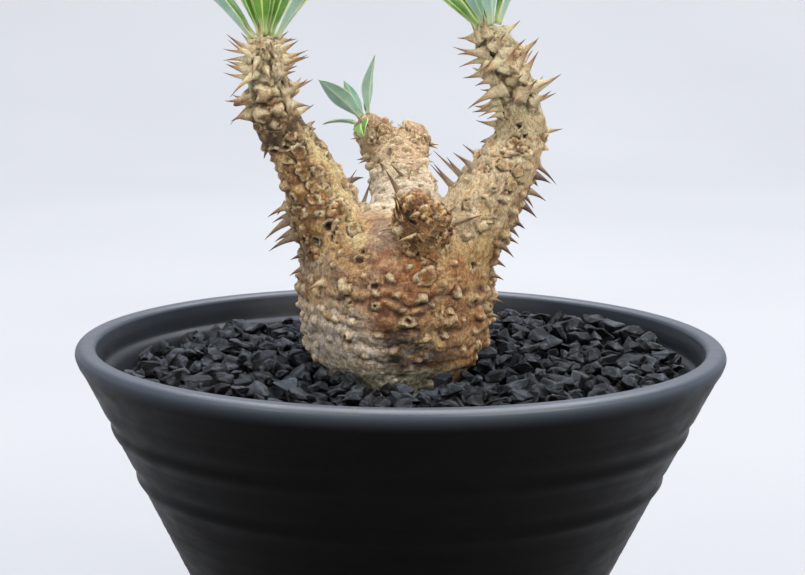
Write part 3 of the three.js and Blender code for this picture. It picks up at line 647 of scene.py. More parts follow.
def bark_tint(vertices, looks, stub, cavity):
    """The bark's colours, vertex by vertex, built up in coats."""
    x, y = vertices[:, 0], vertices[:, 1]
    above = vertices[:, 2] - POT_HEIGHT
    wide, middle, small = (noise(vertices, size, 3, 20 + i) for i, size in enumerate((14, 5, 1.7)))
    fine = noise(vertices, 0.8, 2, seed=23)
    upright = noise(vertices * (1, 1, 0.3), 1.1, 3, seed=24)
    flat = noise(vertices * (0.35, 0.35, 1), 1.2, 3, seed=25)
    tint = np.tile(srgb("ba935f"), (len(vertices), 1))

    def coat(colour, weight, low=-1, high=0, value=0):
        """Lays a colour over the tint, as strongly as weight, from where value is low to where it is high."""
        nonlocal tint
        share = np.clip(weight * ease(low, high, value), 0, 1)
        tint = tint + (srgb(colour) - tint) * share[:, None]

    def spot(centre_x, centre_z, wide, tall, behind=0):
        """1 at a place on the front, fading away round it."""
        return bell(x, centre_x, wide) * bell(above, centre_z, tall) * (y < behind)

    coat("8a6134", 0.65, -0.1, 0.7, middle + 0.4 * upright)
    coat("d8bb89", 0.5, 0.0, 0.7, -middle + 0.4 * upright)
    shoulder = band(above, 12, 28, 5) * (0.45 + 0.55 * ease(4, -6, x))
    coat("9c8a78", 0.9 * shoulder, -0.6, 0.4, wide + 0.4 * small)
    # the rusty waist, stronger in the middle and on the right
    rust = band(above, 2, 21, 5) * ease(-13, -2, x + 5 * middle) * ease(-0.7, 0.3, wide + 0.6 * middle + 0.2)
    coat("945f38", 0.75 * rust, -0.8, 0.2, middle + 0.5 * flat)
    coat("6a4334", 0.75 * rust, -0.1, 0.6, small + 0.6 * flat)
    coat("d2a878", 0.6 * rust, 0.1, 0.6, -small - 0.5 * flat)
    coat("b86f22", 0.85 * spot(5.5, 19, 3.6, 3.8, -8), -0.5, 0.3, small + 0.3 * middle)
    coat("a5622c", 0.5 * spot(1.0, 15, 9.0, 6.0, -8), -0.2, 0.5, flat + 0.4 * middle)
    coat("55393a", 0.85 * spot(2.5, 9.5, 9.5, 4.6, -8), -0.5, 0.35, small + 0.6 * flat)
    speckle = band(above, 8, 32, 4) * ease(0.25, 0.6, small + 0.5 * fine)
    coat("8f5a2e", 0.5 * speckle)
    # the folds round the base: dark purplish brown creases, partly the bark's own colour and partly painted
    # shade, and crests painted lighter, as painted light
    folds, strength = base_bands(vertices), fold_strength(vertices)
    crease = (1 - ease(0.15, 0.7, folds + 0.25 * small)) * band(above, -6, 14, 4) * strength
    coat("4b3530", 0.75 * crease)
    coat("d0a878", 0.4 * ease(0.7, 0.95, folds + 0.2 * small) * band(above, 0, 14, 3) * strength)
    # the dark stain low in the middle, the grey side on the left and the green crust at the foot
    stain = spot(0.5, -0.4, 10, 4.6)
    coat("55473e", 0.95 * stain, -0.8, 0.1, middle + 0.5 * small)
    heart = spot(-0.6, 0.4, 9.5, 4.2)
    coat("1d1c1d", 1.9 * heart, -0.45, 0.15, 0.5 * small + 0.9 * flat + 0.3 * fine)
    coat("8f8c88", 0.7 * heart, 0.1, 0.4, fine - 0.5 * small)
    grey = ease(-1, -15, x + 4 * middle + 2 * small) * (1 - ease(4, 13, above))
    coat("ddd0bd", grey, -1.0, 0.1, small)
    coat("f8f2e8", 0.75 * grey, -0.1, 0.4, fine + 0.4 * flat)
    coat("7d6a58", 0.6 * grey, 0.25, 0.7, small - 0.3 * fine)
    rosy = ease(9, 17, x) * band(above, -6, 10, 4)
    coat("b48a62", 0.5 * rosy)
    crust = (1 - ease(-5.0, -2.4, above + 0.8 * small)) * bell(x, -1, 12)
    coat("a6aa97", 0.95 * crust)
    coat("3a3e36", 0.7 * crust, 0.0, 0.4, fine + 0.5 * small)
    coat("dfe3d2", 0.8 * crust, 0.05, 0.4, -fine + 0.3 * small)
    # the shoulders and the top are pale, partly their own colour and partly painted light from above; the
    # left branch darkens under its head
    top = ease(25, 33, above) * ease(-12, -2, y) * (above < 48)
    coat("efe1c6", 0.85 * top)
    left = ease(-10, -15, x) * band(above, 24, 46, 4)
    coat("8d6430", 0.66 * left, -0.7, 0.3, middle + 0.4 * small)
    coat("523a1c", 0.6 * left, 0.0, 0.6, small + 0.4 * upright)
    coat("d6b67c", 0.6 * left, 0.1, 0.6, -small + 0.4 * upright)
    dark = band(above, 45, 52, 1.6) * ease(-15, -20, x)
    coat("3f2f1a", 0.95 * dark, -0.9, 0.0, middle + 0.4 * small)
    coat("1f1a12", 0.75 * dark * ease(-26, -29, x + 1.2 * small), -0.4, 0.3, fine)
    coat("a89066", 0.7 * dark, 0.15, 0.5, upright - 0.4 * fine)
    # a pale sinew along the inner side of the left branch
    centre = np.interp(above, (24, 31, 41.5, 50), (-10, -12.2, -17.2, -22.5))
    sinew = band(above, 25, 47, 3) * bell(x, centre, 2.2) * (y < 1)
    coat("dcc692", 0.8 * sinew, -0.9, 0.1, small)
    right = band(above + 3 * middle, 30, 44, 9) * ease(5, 11, x)
    coat("e0c79c", 0.75 * right)
    coat("f3dfba", 0.8 * right, -0.1, 0.4, upright - 0.3 * small)
    coat("b9a084", 0.5 * right, 0.0, 0.5, middle - 0.3 * small)
    outer = band(above, 22, 42, 5) * ease(1.0, 4.5, x - np.interp(above, (20, 33, 41), (17.5, 22, 27)))
    coat("6b4426", 0.6 * outer)
    elbow = band(above, 48, 57, 2.5) * ease(8, 14, x)
    coat("a89f7f", 0.8 * elbow)
    coat("7d6a45", 0.6 * elbow, 0.0, 0.5, middle + 0.5 * small)
    rustic = band(above, 43.5, 48, 1.2) * ease(8, 14, x)
    coat("8a5a2a", 0.75 * rustic, -0.1, 0.4, flat + 0.5 * small)
    # the young wood is cream, grey-green between its swellings
    heads = ease(52, 54, above + 1.2 * middle) * (y < 22)
    coat("bdb592", 0.9 * heads)
    coat("847c5e", 0.55 * heads, 0.1, 0.6, small + 0.3 * middle)
    coat("ecdcb4", 0.9 * heads * looks["cap"])
    coat("a5713c", 0.6 * heads, 0.1, 0.5, middle + 0.4 * small)
    back = ease(8, 20, y)
    coat("e2caac", 0.9 * back)
    coat("b0916a", 0.8 * back, 33, 40, above + 2 * middle)
    coat("8f6a45", 0.4 * back * ease(36, 42, above), 0.0, 0.5, middle)
    # marks, with a painted shadow round each and painted shade in their holes
    coat("dcc193", 0.55 * looks["cap"] * (1 - heads) * (above > -4))
    # the painted shadow round each mark
    coat("452d1b", 0.75 * looks["collar"], -0.5, 0.3, fine + 0.4)
    coat("8a6236", 0.65 * looks["scar"], -0.8, 0.2, flat + 0.4 * small)
    coat("ecdcb4", 0.8 * looks["edge"], -0.6, 0.1, small)
    # painted shade in the holes
    coat("2b1d12", 0.9 * looks["hole"] * (1 - 0.8 * back))
    coat("6b4524", 0.9 * stub, -0.9, 0.0, small + 0.3 * (x < 4))
    coat("c0904f", 0.8 * stub, -0.1, 0.3, small - 0.3 * fine - 0.3 * (x < 3))
    # painted shade in the hollows between the stub's crumbs and in all the bark's hollows, and painted
    # highlights on its ridges
    coat("2a1a0d", 0.75 * stub, 0.08, 0.6, -cavity)
    coat("3a291c", 0.85 * ease(0.06, 0.4, -cavity) * (1 - 0.6 * back))
    coat("f0e0ba", 0.5 * ease(0.06, 0.4, cavity) * (above > -3) * (1 - 0.8 * stain))
    # painted light and shade: the low left side painted brighter, a band on the left of the front from 20 to
    # 28 mm above the lip painted darker, and the right branch painted brighter
    light = 1 + 0.4 * spot(-17, 9, 7, 9, 4)
    light *= 1 - 0.15 * band(above, 20, 28, 4) * (x < 0) * (y < 4)
    light *= 1 + 0.22 * right
    tint = tint * light[:, None] * BARK_WARMTH
    return tint / np.maximum(1, tint.max(axis=1, keepdims=True) / 0.85)


def make_bark(material):
    """The whole woody body, and the tree used to stand spines on it."""
    vertices, quads = bark_form()
    normals = vertex_normals(vertices, quads)
    marks, tree = all_marks(vertices, quads, normals)
    rise, looks = press_marks(vertices, normals, marks)
    stub = crown_of_stub(vertices)
    buried = 1 - ease(-13, -9, vertices[:, 2] - POT_HEIGHT)
    shift = (rise + relief(vertices, stub)) * (1 - buried)
    # how far each point stands above the bark round it, for the painted shade in hollows and painted
    # highlights on ridges
    cavity = shift - soften(shift, quads, CAVITY_ROUNDS)
    tint = bark_tint(vertices, looks, stub, cavity)
    bark = add_mesh("bark", vertices + normals * shift[:, None], quads, [material])
    set_values(bark, "tint", tint)
    set_values(bark, "stub", stub)
    return bark, tree


# ---------------------------------------------------------------- spines


def spine_body(foot, tip, radius, sag, taper, blunt, rings=14, sides=12):
    """A spine with a stout body and a thin point, bowed by sag. Also each vertex's share of the length.

    The higher the taper, the sooner it thins out."""
    way = tip - foot
    aim = unit(way)
    side = unit(np.cross(aim, (0.31, 0.2, 0.93)))
    other = np.cross(aim, side)
    share, turn = np.meshgrid(np.linspace(0, 1, rings), np.arange(sides) * 2 * math.pi / sides, indexing="ij")
    share, turn = share.reshape(-1, 1), turn.reshape(-1, 1)
    centre = foot + way * (share - 0.1 * (1 - share)) + sag * 4 * share * (1 - share)
    needle = 0.95 * (1 - share) ** taper + 0.1 * (1 - share) ** 0.5 + 0.15 * np.exp(-share / 0.1)
    stump = np.sqrt(1 - share**6)
    thick = radius * (needle * (1 - blunt) + 0.75 * stump * blunt) + 0.03
    ridge = 1 + 0.07 * np.sin(3 * turn + 4 * share) + 0.04 * np.sin(7 * turn)
    vertices = centre + thick * ridge * (side * np.cos(turn) + other * np.sin(turn))
    caps = [list(range(sides))[::-1], list(range((rings - 1) * sides, rings * sides))]
    return vertices, grid_faces(rings, sides) + caps, share.ravel()


def make_spines(tree, material):
    """All the spines as one object, with the share of length and the age of each for the material."""
    rng = np.random.default_rng(11)
    pile = Pile()

    def stand(foot, tip, radius, age, sag=0.0, taper=1.25, blunt=0.0):
        """sag: how far the middle is bowed up or down, or which way and how far."""
        bow = np.array([0, 0, sag]) if np.isscalar(sag) else sag
        pile.add(*spine_body(foot, tip, radius, bow, taper, blunt), age)

    def placed(x, z, tip_x, tip_z, forward):
        """The foot and the tip of a spine of the tables, its direction out of the bark and its length."""
        foot, normal = front_hit(tree, x, z)
        tip = np.array([tip_x, foot[1] - forward, tip_z + POT_HEIGHT])
        return foot, tip, normal, np.linalg.norm(tip - foot)

    for limb, share, turn, length in head_nodes():
        foot, away = limb.skin(share, turn)
        along, _, _ = limb.axes(share)
        level = np.cross(along, away)
        for sign in (-1, 1):
            aim = unit(away + 0.5 * sign * level + along * rng.uniform(0.0, 0.4))
            reach = length * rng.uniform(0.95, 1.25)
            start = foot + 0.6 * sign * level
            age = rng.uniform(0.0, 0.3)
            stand(start, start + aim * reach, 0.27 * reach, age, 0.05 * reach * (away - along), 1.9)
    for x, z, tip_x, tip_z, forward, radius in HEAD_SPINES:
        foot, tip, _, length = placed(x, z, tip_x, tip_z, forward)
        broken = 0.5 if length < 4.5 and x < 0 and rng.random() < 0.3 else 0.0
        sag = 0.06 * length * (-1 if tip_z > z else 1)
        stand(foot, tip, radius, rng.uniform(0.0, 0.5), sag, 1.7, broken)
    for x, z, tip_x, tip_z, forward, radius, age in FRONT_SPINES:
        foot, tip, normal, length = placed(x, z, tip_x, tip_z, forward)
        stand(foot - 0.2 * normal, tip, radius, age, 0.08 * length if tip_z < z else 0.0)
    for name, low, high, count, first_turn, scale in STRAY_SPINES:
        for _ in range(count):
            turn = rng.uniform(first_turn, 2 * math.pi)
            foot, away = LIMBS[name].skin(rng.uniform(low, high), turn)
            aim = unit(away + rng.normal(0, 0.25, 3) + (0, 0, -0.25))
            length = rng.uniform(2.0, 4.2) * scale
            stand(foot, foot + aim * length, rng.uniform(0.6, 1.1), rng.uniform(0.5, 1), 0.1 * length)
    for angle in rng.uniform(0, math.pi, BASE_SPINES):
        inward = Vector((-math.cos(angle), -math.sin(angle), 0))
        start = -60 * inward + Vector((0, 0, rng.uniform(2, 22) + POT_HEIGHT))
        foot, normal = (np.array(v) for v in tree.ray_cast(start, inward)[:2])
        length = rng.uniform(1.2, 2.6)
        aim = unit(normal + rng.normal(0, 0.25, 3))
        stand(foot, foot + aim * length, rng.uniform(0.7, 1.0), rng.uniform(0.4, 1))
    return pile.build("spines", material, "along", "age")


def sheet_faces(rows, columns):
    """Faces of a thin closed sheet: a grid of vertices, the same again on its other side, and its rim."""
    half = rows * columns
    faces = [face[::-1] for face in grid_faces(rows, columns, closed=False)]
    faces += [tuple(half + i for i in reversed(face)) for face in faces]
    rim = [*range(columns), *range(2 * columns - 1, half, columns)]
    rim += [*range(half - 2, half - columns - 1, -1), *range(half - 2 * columns, 0, -columns)]
    return faces + [(a, b, half + b, half + a) for a, b in zip(rim, rim[1:] + rim[:1])]


def flake(foot, way, side, out, length, width, curl, rng):
    """A papery shred with a torn end, four cells wide, that curls out from its foot."""
    rows, columns = 7, 5
    tear = rng.uniform(0.65, 1.0, columns)
    share = np.repeat(np.linspace(0, 1, rows), columns)
    u = np.tile(np.linspace(-0.5, 0.5, columns), rows)
    lift = curl * length * share**2 + 0.25 * width * (2 * u) ** 2
    middle = foot + np.outer(length * share * np.tile(tear, rows), way)
    middle += np.outer(u * width * (1 - 0.35 * share), side) + np.outer(lift, out)
    return np.concatenate([middle + 0.05 * out, middle - 0.05 * out]), sheet_faces(rows, columns)


SHREDS_ON_STUB = 190

# Shreds round scars on the front: across, above the lip, how far round and how many.
SHREDS_ROUND_SCARS = (
    (5.6, 17.8, 2.3, 14), (-19.8, 21.3, 2.2, 12), (-14.5, 31.6, 2.1, 8), (10.3, 8.2, 2.0, 8),
)  # fmt: skip


def make_shreds(tree, material):
    """Papery shreds of dead bark round the pruned stub and round the scars on the front."""
    rng = np.random.default_rng(17)
    stub = LIMBS["stub"]
    pile = Pile()
    for _ in range(SHREDS_ON_STUB):
        turn = rng.uniform(0, 2 * math.pi)
        share = rng.uniform(0.3, 0.86)
        foot, away = stub.skin(share, turn)
        along, _, _ = stub.axes(share)
        level = np.cross(along, away)
        angle = rng.uniform(-math.pi, math.pi)
        way = unit(swing(along, level, angle) + away * rng.uniform(-0.1, 0.12))
        side = unit(np.cross(away, way))
        length, width = rng.uniform(1.2, 3.4), rng.uniform(0.6, 1.9)
        curl = rng.uniform(-0.1, 0.2)
        shred = flake(foot + 0.5 * away, way, side, np.cross(way, side), length, width, curl, rng)
        pile.add(*shred, np.clip(1.15 - share + rng.normal(0, 0.22), 0, 1))
    for x, z, spread, count in SHREDS_ROUND_SCARS:
        centre, normal = front_hit(tree, x, z)
        up, level = tangent_axes(normal)
        for _ in range(count):
            angle = rng.uniform(0, 2 * math.pi)
            away = swing(level, up, angle)
            foot = centre + away * spread * rng.uniform(0.75, 1.0) + 0.15 * normal
            side = unit(np.cross(normal, away))
            way = unit(-away * 0.4 + normal * 0.5)
            length, width = rng.uniform(0.7, 1.2), rng.uniform(0.8, 1.6)
            pile.add(*flake(foot, way, side, -away, length, width, 0.2, rng), rng.uniform(0.2, 0.8))
    return pile.build("shreds", material, "age")


# ---------------------------------------------------------------- leaves

# turn about the limb, tilt from it and droop in degrees, then length and width, as in the CAD
ROSETTES = {
    "left": (
        (160, 37, 20, 40, 6.8), (207, 36, 20, 42, 7), (252, 34, 22, 38, 6.8), (293, 38, 22, 38, 6.6),
        (334, 40, 22, 31, 6.8), (20, 38, 20, 37, 6.8), (226, 17, 12, 35, 6), (266, 3, 6, 32, 5.6),
        (308, 20, 12, 35, 7),
    ),
    "right": (
        (214, 23, 20, 38, 7.4), (256, 36, 22, 38, 6.8), (297, 38, 22, 36, 6.4), (338, 40, 22, 35, 6.2),
        (18, 47, 24, 34, 6), (57, 36, 22, 36, 7), (262, 6, 8, 32, 5.4), (322, 16, 10, 30, 5.2),
        (78, 13, 12, 28, 5),
    ),
    "back": (
        (108, 32, 22, 16.5, 5), (96, 84, 56, 13, 4.6), (322, 30, 20, 11, 3.8), (36, 38, 20, 16, 4.4),
        (200, 44, 30, 10, 4.2), (70, 6, 12, 10, 3.6),
    ),
}  # fmt: skip
ROSETTE_LIMBS = {"left": "left", "right": "right", "back": "back_left"}
LEAF_CLEARANCE = 0.9  # from the wood, as in the CAD
LEAF_SINK = 1.2  # how much nearer a blade starts here, so that it grows out of the wood
LEAF_THICKNESS = 0.5


def leaf_outline(share):
    swell = np.maximum(0, np.sin(math.pi * share**0.92))
    return np.maximum(np.maximum(0.03, swell), 0.34 * (1 - 2 * share))


def make_leaf(name, limb, leaf, materials, seed):
    """A blade folded along its midrib: upper side in the first material, underside in the second."""
    turn, tilt, droop = (math.radians(v) for v in leaf[:3])
    length, width = leaf[3:]
    along, out, across = limb.axes(1)
    crown = limb.radii[-1]
    away = swing(out, across, turn)
    aim = swing(along, away, tilt)
    base = limb.at(1) - along * crown + aim * (crown + LEAF_CLEARANCE - LEAF_SINK)
    middle = base + aim * length * 0.5
    tip = middle + swing(along, away, tilt + droop) * length * 0.5
    side = unit(np.cross(away, along))
    rng = np.random.default_rng(seed)
    wave = rng.uniform(0, 6.28)
    rows, columns = 34, 15
    share, u = np.meshgrid(np.linspace(0, 1, rows), np.linspace(-1, 1, columns), indexing="ij")
    share, u = share.reshape(-1, 1), u.reshape(-1, 1)
    centre = base * (1 - share) ** 2 + 2 * middle * share * (1 - share) + tip * share**2
    tangent = (middle - base) * (1 - share) + (tip - middle) * share
    normal = np.cross(side, tangent / np.linalg.norm(tangent, axis=1, keepdims=True))
    half = width / 2 * leaf_outline(share)
    fold = 0.42 * half * np.abs(u) ** 1.15 * (1 - 0.45 * np.abs(u))
    ripple = 0.1 * half * u * u * np.sin(9 * share + wave + 1.5 * (u > 0))
    groove = -0.16 * bell(u, 0, 0.13) * (1 - share)
    thick = LEAF_THICKNESS * (1 - 0.5 * share) * (1 - 0.75 * np.abs(u) ** 3)
    keel = 0.3 * bell(u, 0, 0.16) * (1 - 0.8 * share)
    sheet = centre + side * u * half + normal * (fold + ripple)
    upper, under = sheet + normal * (thick / 2 + groove), sheet - normal * (thick / 2 + keel)
    faces = sheet_faces(rows, columns)
    blade = add_mesh(name, np.concatenate([under, upper]), faces, materials)
    underside = np.arange(len(faces)) < (rows - 1) * (columns - 1)
    blade.data.polygons.foreach_set("material_index", underside.astype(int))
    set_values(blade, "across", np.tile(u.ravel(), 2))
    set_values(blade, "along", np.tile(share.ravel(), 2))
    return blade


def make_leaves(materials):
    for rosette, leaves in ROSETTES.items():
        limb = LIMBS[ROSETTE_LIMBS[rosette]]
        for i, leaf in enumerate(leaves):
            node = f"leaf_{rosette}_{i + 1:02d}"
            piece = make_leaf(node + "_blade", limb, leaf, materials, seed=100 + i)
            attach(piece, "root")
            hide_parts(node)


# ---------------------------------------------------------------- pot


def wall_radius(height):
    return SHOULDER_RADIUS - WALL_TAPER * (POT_HEIGHT - SHOULDER_DROP - height)


def ring_step(height):
    """The two soft rings in the wall: a small swelling over a small groove."""
    away = height - POT_HEIGHT + np.array(RING_DROPS)
    return (0.5 * bell(away, -1.3, 1.4) - 0.32 * bell(away, 1.4, 1.3)).sum()


def throwing(height, strength):
    """Fine rings left by turning."""
    waves = ((1, 3.1, 0), (0.6, 1.37, 1), (0.4, 6.3, 0))
    return strength * sum(size * math.sin(rate * height + start) for size, rate, start in waves)


def rounded(radius, height, curve, start, end, count):
    """Points of a profile on an arc about a centre, with its angles in degrees."""
    angles = np.radians(np.linspace(start, end, count))
    return [(radius + curve * math.cos(angle), height + curve * math.sin(angle)) for angle in angles]


def pot_profile():
    """(radius, height) all the way round the section: foot, outside, lip, inside and floor."""
    foot_inside = FOOT_RADIUS - FOOT_WIDTH
    foot = [
        (DRAIN_RADIUS, FOOT_HEIGHT + 0.6), (DRAIN_RADIUS + 0.6, FOOT_HEIGHT),
        (foot_inside - 0.9, FOOT_HEIGHT), (foot_inside - 0.2, FOOT_HEIGHT - 0.6),
        (foot_inside, 0.5), (foot_inside + 0.5, 0), (FOOT_RADIUS - 0.9, 0), (FOOT_RADIUS - 0.2, 0.3),
        (FOOT_RADIUS, 0.9), (FOOT_RADIUS + 0.2, FOOT_HEIGHT - 0.6),
        (FOOT_RADIUS + 0.7, FOOT_HEIGHT), (wall_radius(FOOT_HEIGHT + 1.6) - 0.9, FOOT_HEIGHT + 0.5),
    ]  # fmt: skip
    shoulder = POT_HEIGHT - SHOULDER_DROP
    heights = np.arange(FOOT_HEIGHT + 2.4, shoulder, 0.8)
    outside = [(wall_radius(h) + ring_step(h) + throwing(h, 0.035), h) for h in heights]
    outside += [(SHOULDER_RADIUS + 0.05, shoulder), (73.1, POT_HEIGHT - 5.9), (74.35, POT_HEIGHT - 3.9)]
    inner_edge = RIM_RADIUS - LIP_WIDTH
    lip = rounded(RIM_RADIUS - 1.9, POT_HEIGHT - 1.9, 1.9, -20, 95, 9)
    lip += rounded(inner_edge + 1.3, POT_HEIGHT - 1.5, 1.5, 90, 178, 7)
    undercut = ((0.55, 2.4), (0.95, 3.8), (1.3, 5.2), (1.45, 5.9), (1.75, 6.3), (2.35, 6.6))
    inside = [(inner_edge - step, POT_HEIGHT - drop) for step, drop in undercut]
    heights = np.arange(POT_HEIGHT - 7.4, FLOOR_TOP + 3, -0.9)
    inside += [(wall_radius(h) - WALL_RUN + throwing(h, 0.05), h) for h in heights]
    floor = [(wall_radius(FLOOR_TOP) - WALL_RUN - 3, FLOOR_TOP), (DRAIN_RADIUS + 0.6, FLOOR_TOP),
             (DRAIN_RADIUS, FLOOR_TOP - 0.6)]  # fmt: skip
    return [*foot, *outside, *lip, *inside, *floor]


def make_pot(materials):
    """The pot: its outer wall has the first material, its lip the second and its inside the third. They are
    copies of one black glaze: the outer wall's darkest, as painted shade, the lip's and the inside's painted
    lighter blue-grey, as painted reflection and sheen.
    """
    sides = 160
    vertices, faces = turned(pot_profile(), sides, closed=True)
    angle = np.arctan2(vertices[:, 1], vertices[:, 0])
    away = np.hypot(vertices[:, 0], vertices[:, 1])
    uneven = 1 + (0.0006 * np.sin(2 * angle + 0.6) + 0.0004 * np.sin(3 * angle)) * ease(20, 60, away)
    vertices[:, :2] *= np.minimum(uneven, 1.0005)[:, None]
    pot = add_mesh("pot_body", vertices, faces, materials)
    middles = vertices[np.array(faces)].mean(axis=1)
    above = middles[:, 2] - POT_HEIGHT
    away = np.hypot(middles[:, 0], middles[:, 1])
    inside = (above > -20) & (away < wall_radius(middles[:, 2]) - WALL_RUN / 2 + 0.1)
    pot.data.polygons.foreach_set("material_index", np.where(above > -1.2, 1, np.where(inside, 2, 0)))
    return pot


# ---------------------------------------------------------------- crushed stone

STONE_BED = -14.5  # height of the lowest stones' underside, from the lip
STONE_CELL = 0.5  # the grid on which the stones are packed
STONE_REACH = 66.5  # the dressing's radius
STEM_REACH = 17.6  # no stone lies nearer to the stem's middle than this
STONE_LENGTH = 6.9  # the usual length, with a few from 3 to 11.5
CHIP_SHAPES = 36
MOST_STONES = 1900
MOST_MISSES = 260  # the dressing is full when so many chips have found no place
CHIP_TRIES = 14
HIGHEST = 2.6  # how far a stone's top may stand above the dressing's surface
HIDDEN_DEPTH = 3.1  # stones that lie deeper than this aren't seen, so they stay plain


def chip_shape(rng):
    """One broken chip, about its centre and one long: plain, and broken up with values for painted shade in
    its hollows and painted highlights on its edges; also the planes of its faces.
    """
    points = rng.normal(0, 1, (13, 3))
    points /= np.linalg.norm(points, axis=1, keepdims=True)
    points *= rng.uniform(0.82, 1.0, (13, 1)) * (0.5, rng.uniform(0.3, 0.42), rng.uniform(0.2, 0.34))
    hull = bmesh.new()
    for point in points:
        hull.verts.new(point)
    bmesh.ops.convex_hull(hull, input=hull.verts)
    bmesh.ops.delete(hull, geom=[v for v in hull.verts if not v.link_faces], context="VERTS")
    bmesh.ops.dissolve_limit(hull, angle_limit=math.radians(14), verts=hull.verts, edges=hull.edges)
    planes = np.array([[*f.normal, f.normal.dot(f.verts[0].co)] for f in hull.faces])
    plain = mesh_lists(hull)
    bmesh.ops.bevel(hull, geom=hull.edges, offset=0.02, segments=1, affect="EDGES", clamp_overlap=True)
    bmesh.ops.triangulate(hull, faces=[f for f in hull.faces if len(f.verts) > 4])
    bmesh.ops.triangulate(hull, faces=hull.faces)
    bmesh.ops.subdivide_edges(hull, edges=[e for e in hull.edges if e.calc_length() > 0.125], cuts=1)
    bmesh.ops.triangulate(hull, faces=hull.faces)
    vertices, faces = mesh_lists(hull)
    hull.free()
    seed = int(rng.integers(1000))
    broken = 0.16 * np.abs(noise(vertices * (1, 1, 2.5), 0.22, 2, seed))
    broken += 0.05 * noise(vertices, 0.1, 1, seed)
    inward = np.sort(planes[:, 3] - vertices @ planes[:, :3].T, axis=1)[:, 1]
    # how far each point is broken in, for painted shade in the hollows, and how near it is to an edge, for
    # painted highlights
    detailed = vertices * (1.03 - broken[:, None]), faces, broken / 0.12, 1 - ease(0.0, 0.035, inward)
    return planes, (*plain, 0.5, 0.0), detailed


def mesh_lists(source):
    source.verts.ensure_lookup_table()
    source.verts.index_update()
    return np.array([v.co[:] for v in source.verts]), [[v.index for v in f.verts] for f in source.faces]


def stone_surface(x, y):
    """The dressing's height: it rises towards the stem, and in low heaps, and dips in front."""
    share = np.clip((67 - np.hypot(x, y)) / 47, 0, 1)
    height = -7.0 + 1.6 * share**2 + 0.028 * x + 0.03 * y
    # a heap's height, place and spread
    heaps = ((2.4, 20, -2, 60), (2.0, -19, -9, 30), (-1.8, -1, -24, 90), (1.8, 44, 28, 700))
    return height + sum(h * np.exp(-((x - i) ** 2 + (y - j) ** 2) / spread) for h, i, j, spread in heaps)


def stone_ground():
    """A height for each cell of a square round the pot: the bed, and a barrier at the wall and the stem."""
    half = 68
    steps = np.arange(-half, half + STONE_CELL, STONE_CELL)
    x, y = np.meshgrid(steps, steps, indexing="ij")
    stem = np.hypot(x - CAUDEX_CENTRE[0], (y - CAUDEX_CENTRE[1]) / CAUDEX_DEPTH)
    blocked = (np.hypot(x, y) > STONE_REACH) | (stem < STEM_REACH)
    return steps, np.where(blocked, 1e3, STONE_BED)


def chip_cells(planes, turn, length):
    """How many cells a turned chip reaches each way, and its under and upper side in each of them."""
    reach = int(0.55 * length / STONE_CELL) + 1
    local = np.arange(-reach, reach + 1) * STONE_CELL
    x, y = np.meshgrid(local, local, indexing="ij")
    normals = planes[:, :3] @ turn.T
    across, back, up = normals.T[:, :, None, None]
    with np.errstate(divide="ignore"):
        heights = (planes[:, 3, None, None] * length - across * x - back * y) / up
    return reach, heights[normals[:, 2] < -1e-6].max(axis=0), heights[normals[:, 2] > 1e-6].min(axis=0)


def pack_stones():
    """Drops chips one by one where they come to lie lowest, until the dressing is full."""
    rng = np.random.default_rng(29)
    shapes = [chip_shape(rng) for _ in range(CHIP_SHAPES)]
    steps, ground = stone_ground()
    stones = []
    misses = 0
    while misses < MOST_MISSES and len(stones) < MOST_STONES:
        planes, plain, detailed = shapes[rng.integers(len(shapes))]
        length = np.clip(rng.lognormal(math.log(STONE_LENGTH), 0.32), 3.0, 11.5)
        tilt = rng.normal(0, 0.38, 2)
        angles = (("Z", rng.uniform(0, 6.283)), ("X", tilt[0]), ("Y", tilt[1]))
        about_z, about_x, about_y = (Matrix.Rotation(angle, 3, axis) for axis, angle in angles)
        turn = np.array(about_z @ about_x @ about_y)
        reach, bottom, top = chip_cells(planes, turn, length)
        inside = bottom < top
        if not inside.any():
            continue
        best = None
        for _ in range(CHIP_TRIES):
            away, angle = 66 * math.sqrt(rng.uniform(0.08, 1)), rng.uniform(0, 2 * math.pi)
            i = int((away * math.cos(angle) - steps[0]) / STONE_CELL)
            j = int((away * math.sin(angle) - steps[0]) / STONE_CELL)
            if min(i, j) < reach or max(i, j) + reach >= len(steps):
                continue
            window = ground[i - reach : i + reach + 1, j - reach : j + reach + 1]
            rest = (window - bottom)[inside].max()
            over = rest + top[inside].max() - stone_surface(steps[i], steps[j])
            if over < HIGHEST and (best is None or over < best[0]):
                best = (over, window, np.array([steps[i], steps[j], rest]))
        if best is None:
            misses += 1
            continue
        _, window, place = best
        window[inside] = np.maximum(window[inside], (place[2] + top)[inside])
        shown = place[2] > stone_surface(*place[:2]) - HIDDEN_DEPTH
        stones.append((detailed if shown else plain, length, turn, place))
    return stones


def make_stones(material):
    rng = np.random.default_rng(31)
    pile = Pile()
    for (vertices, faces, hollow_shade, edge), length, turn, place in pack_stones():
        pile.add(vertices * length @ turn.T + place + LIP, faces, rng.random(), hollow_shade, edge)
    return pile.build("crushed_stone", material, "age", "hollow_shade", "edge", smooth=False)


# ---------------------------------------------------------------- materials


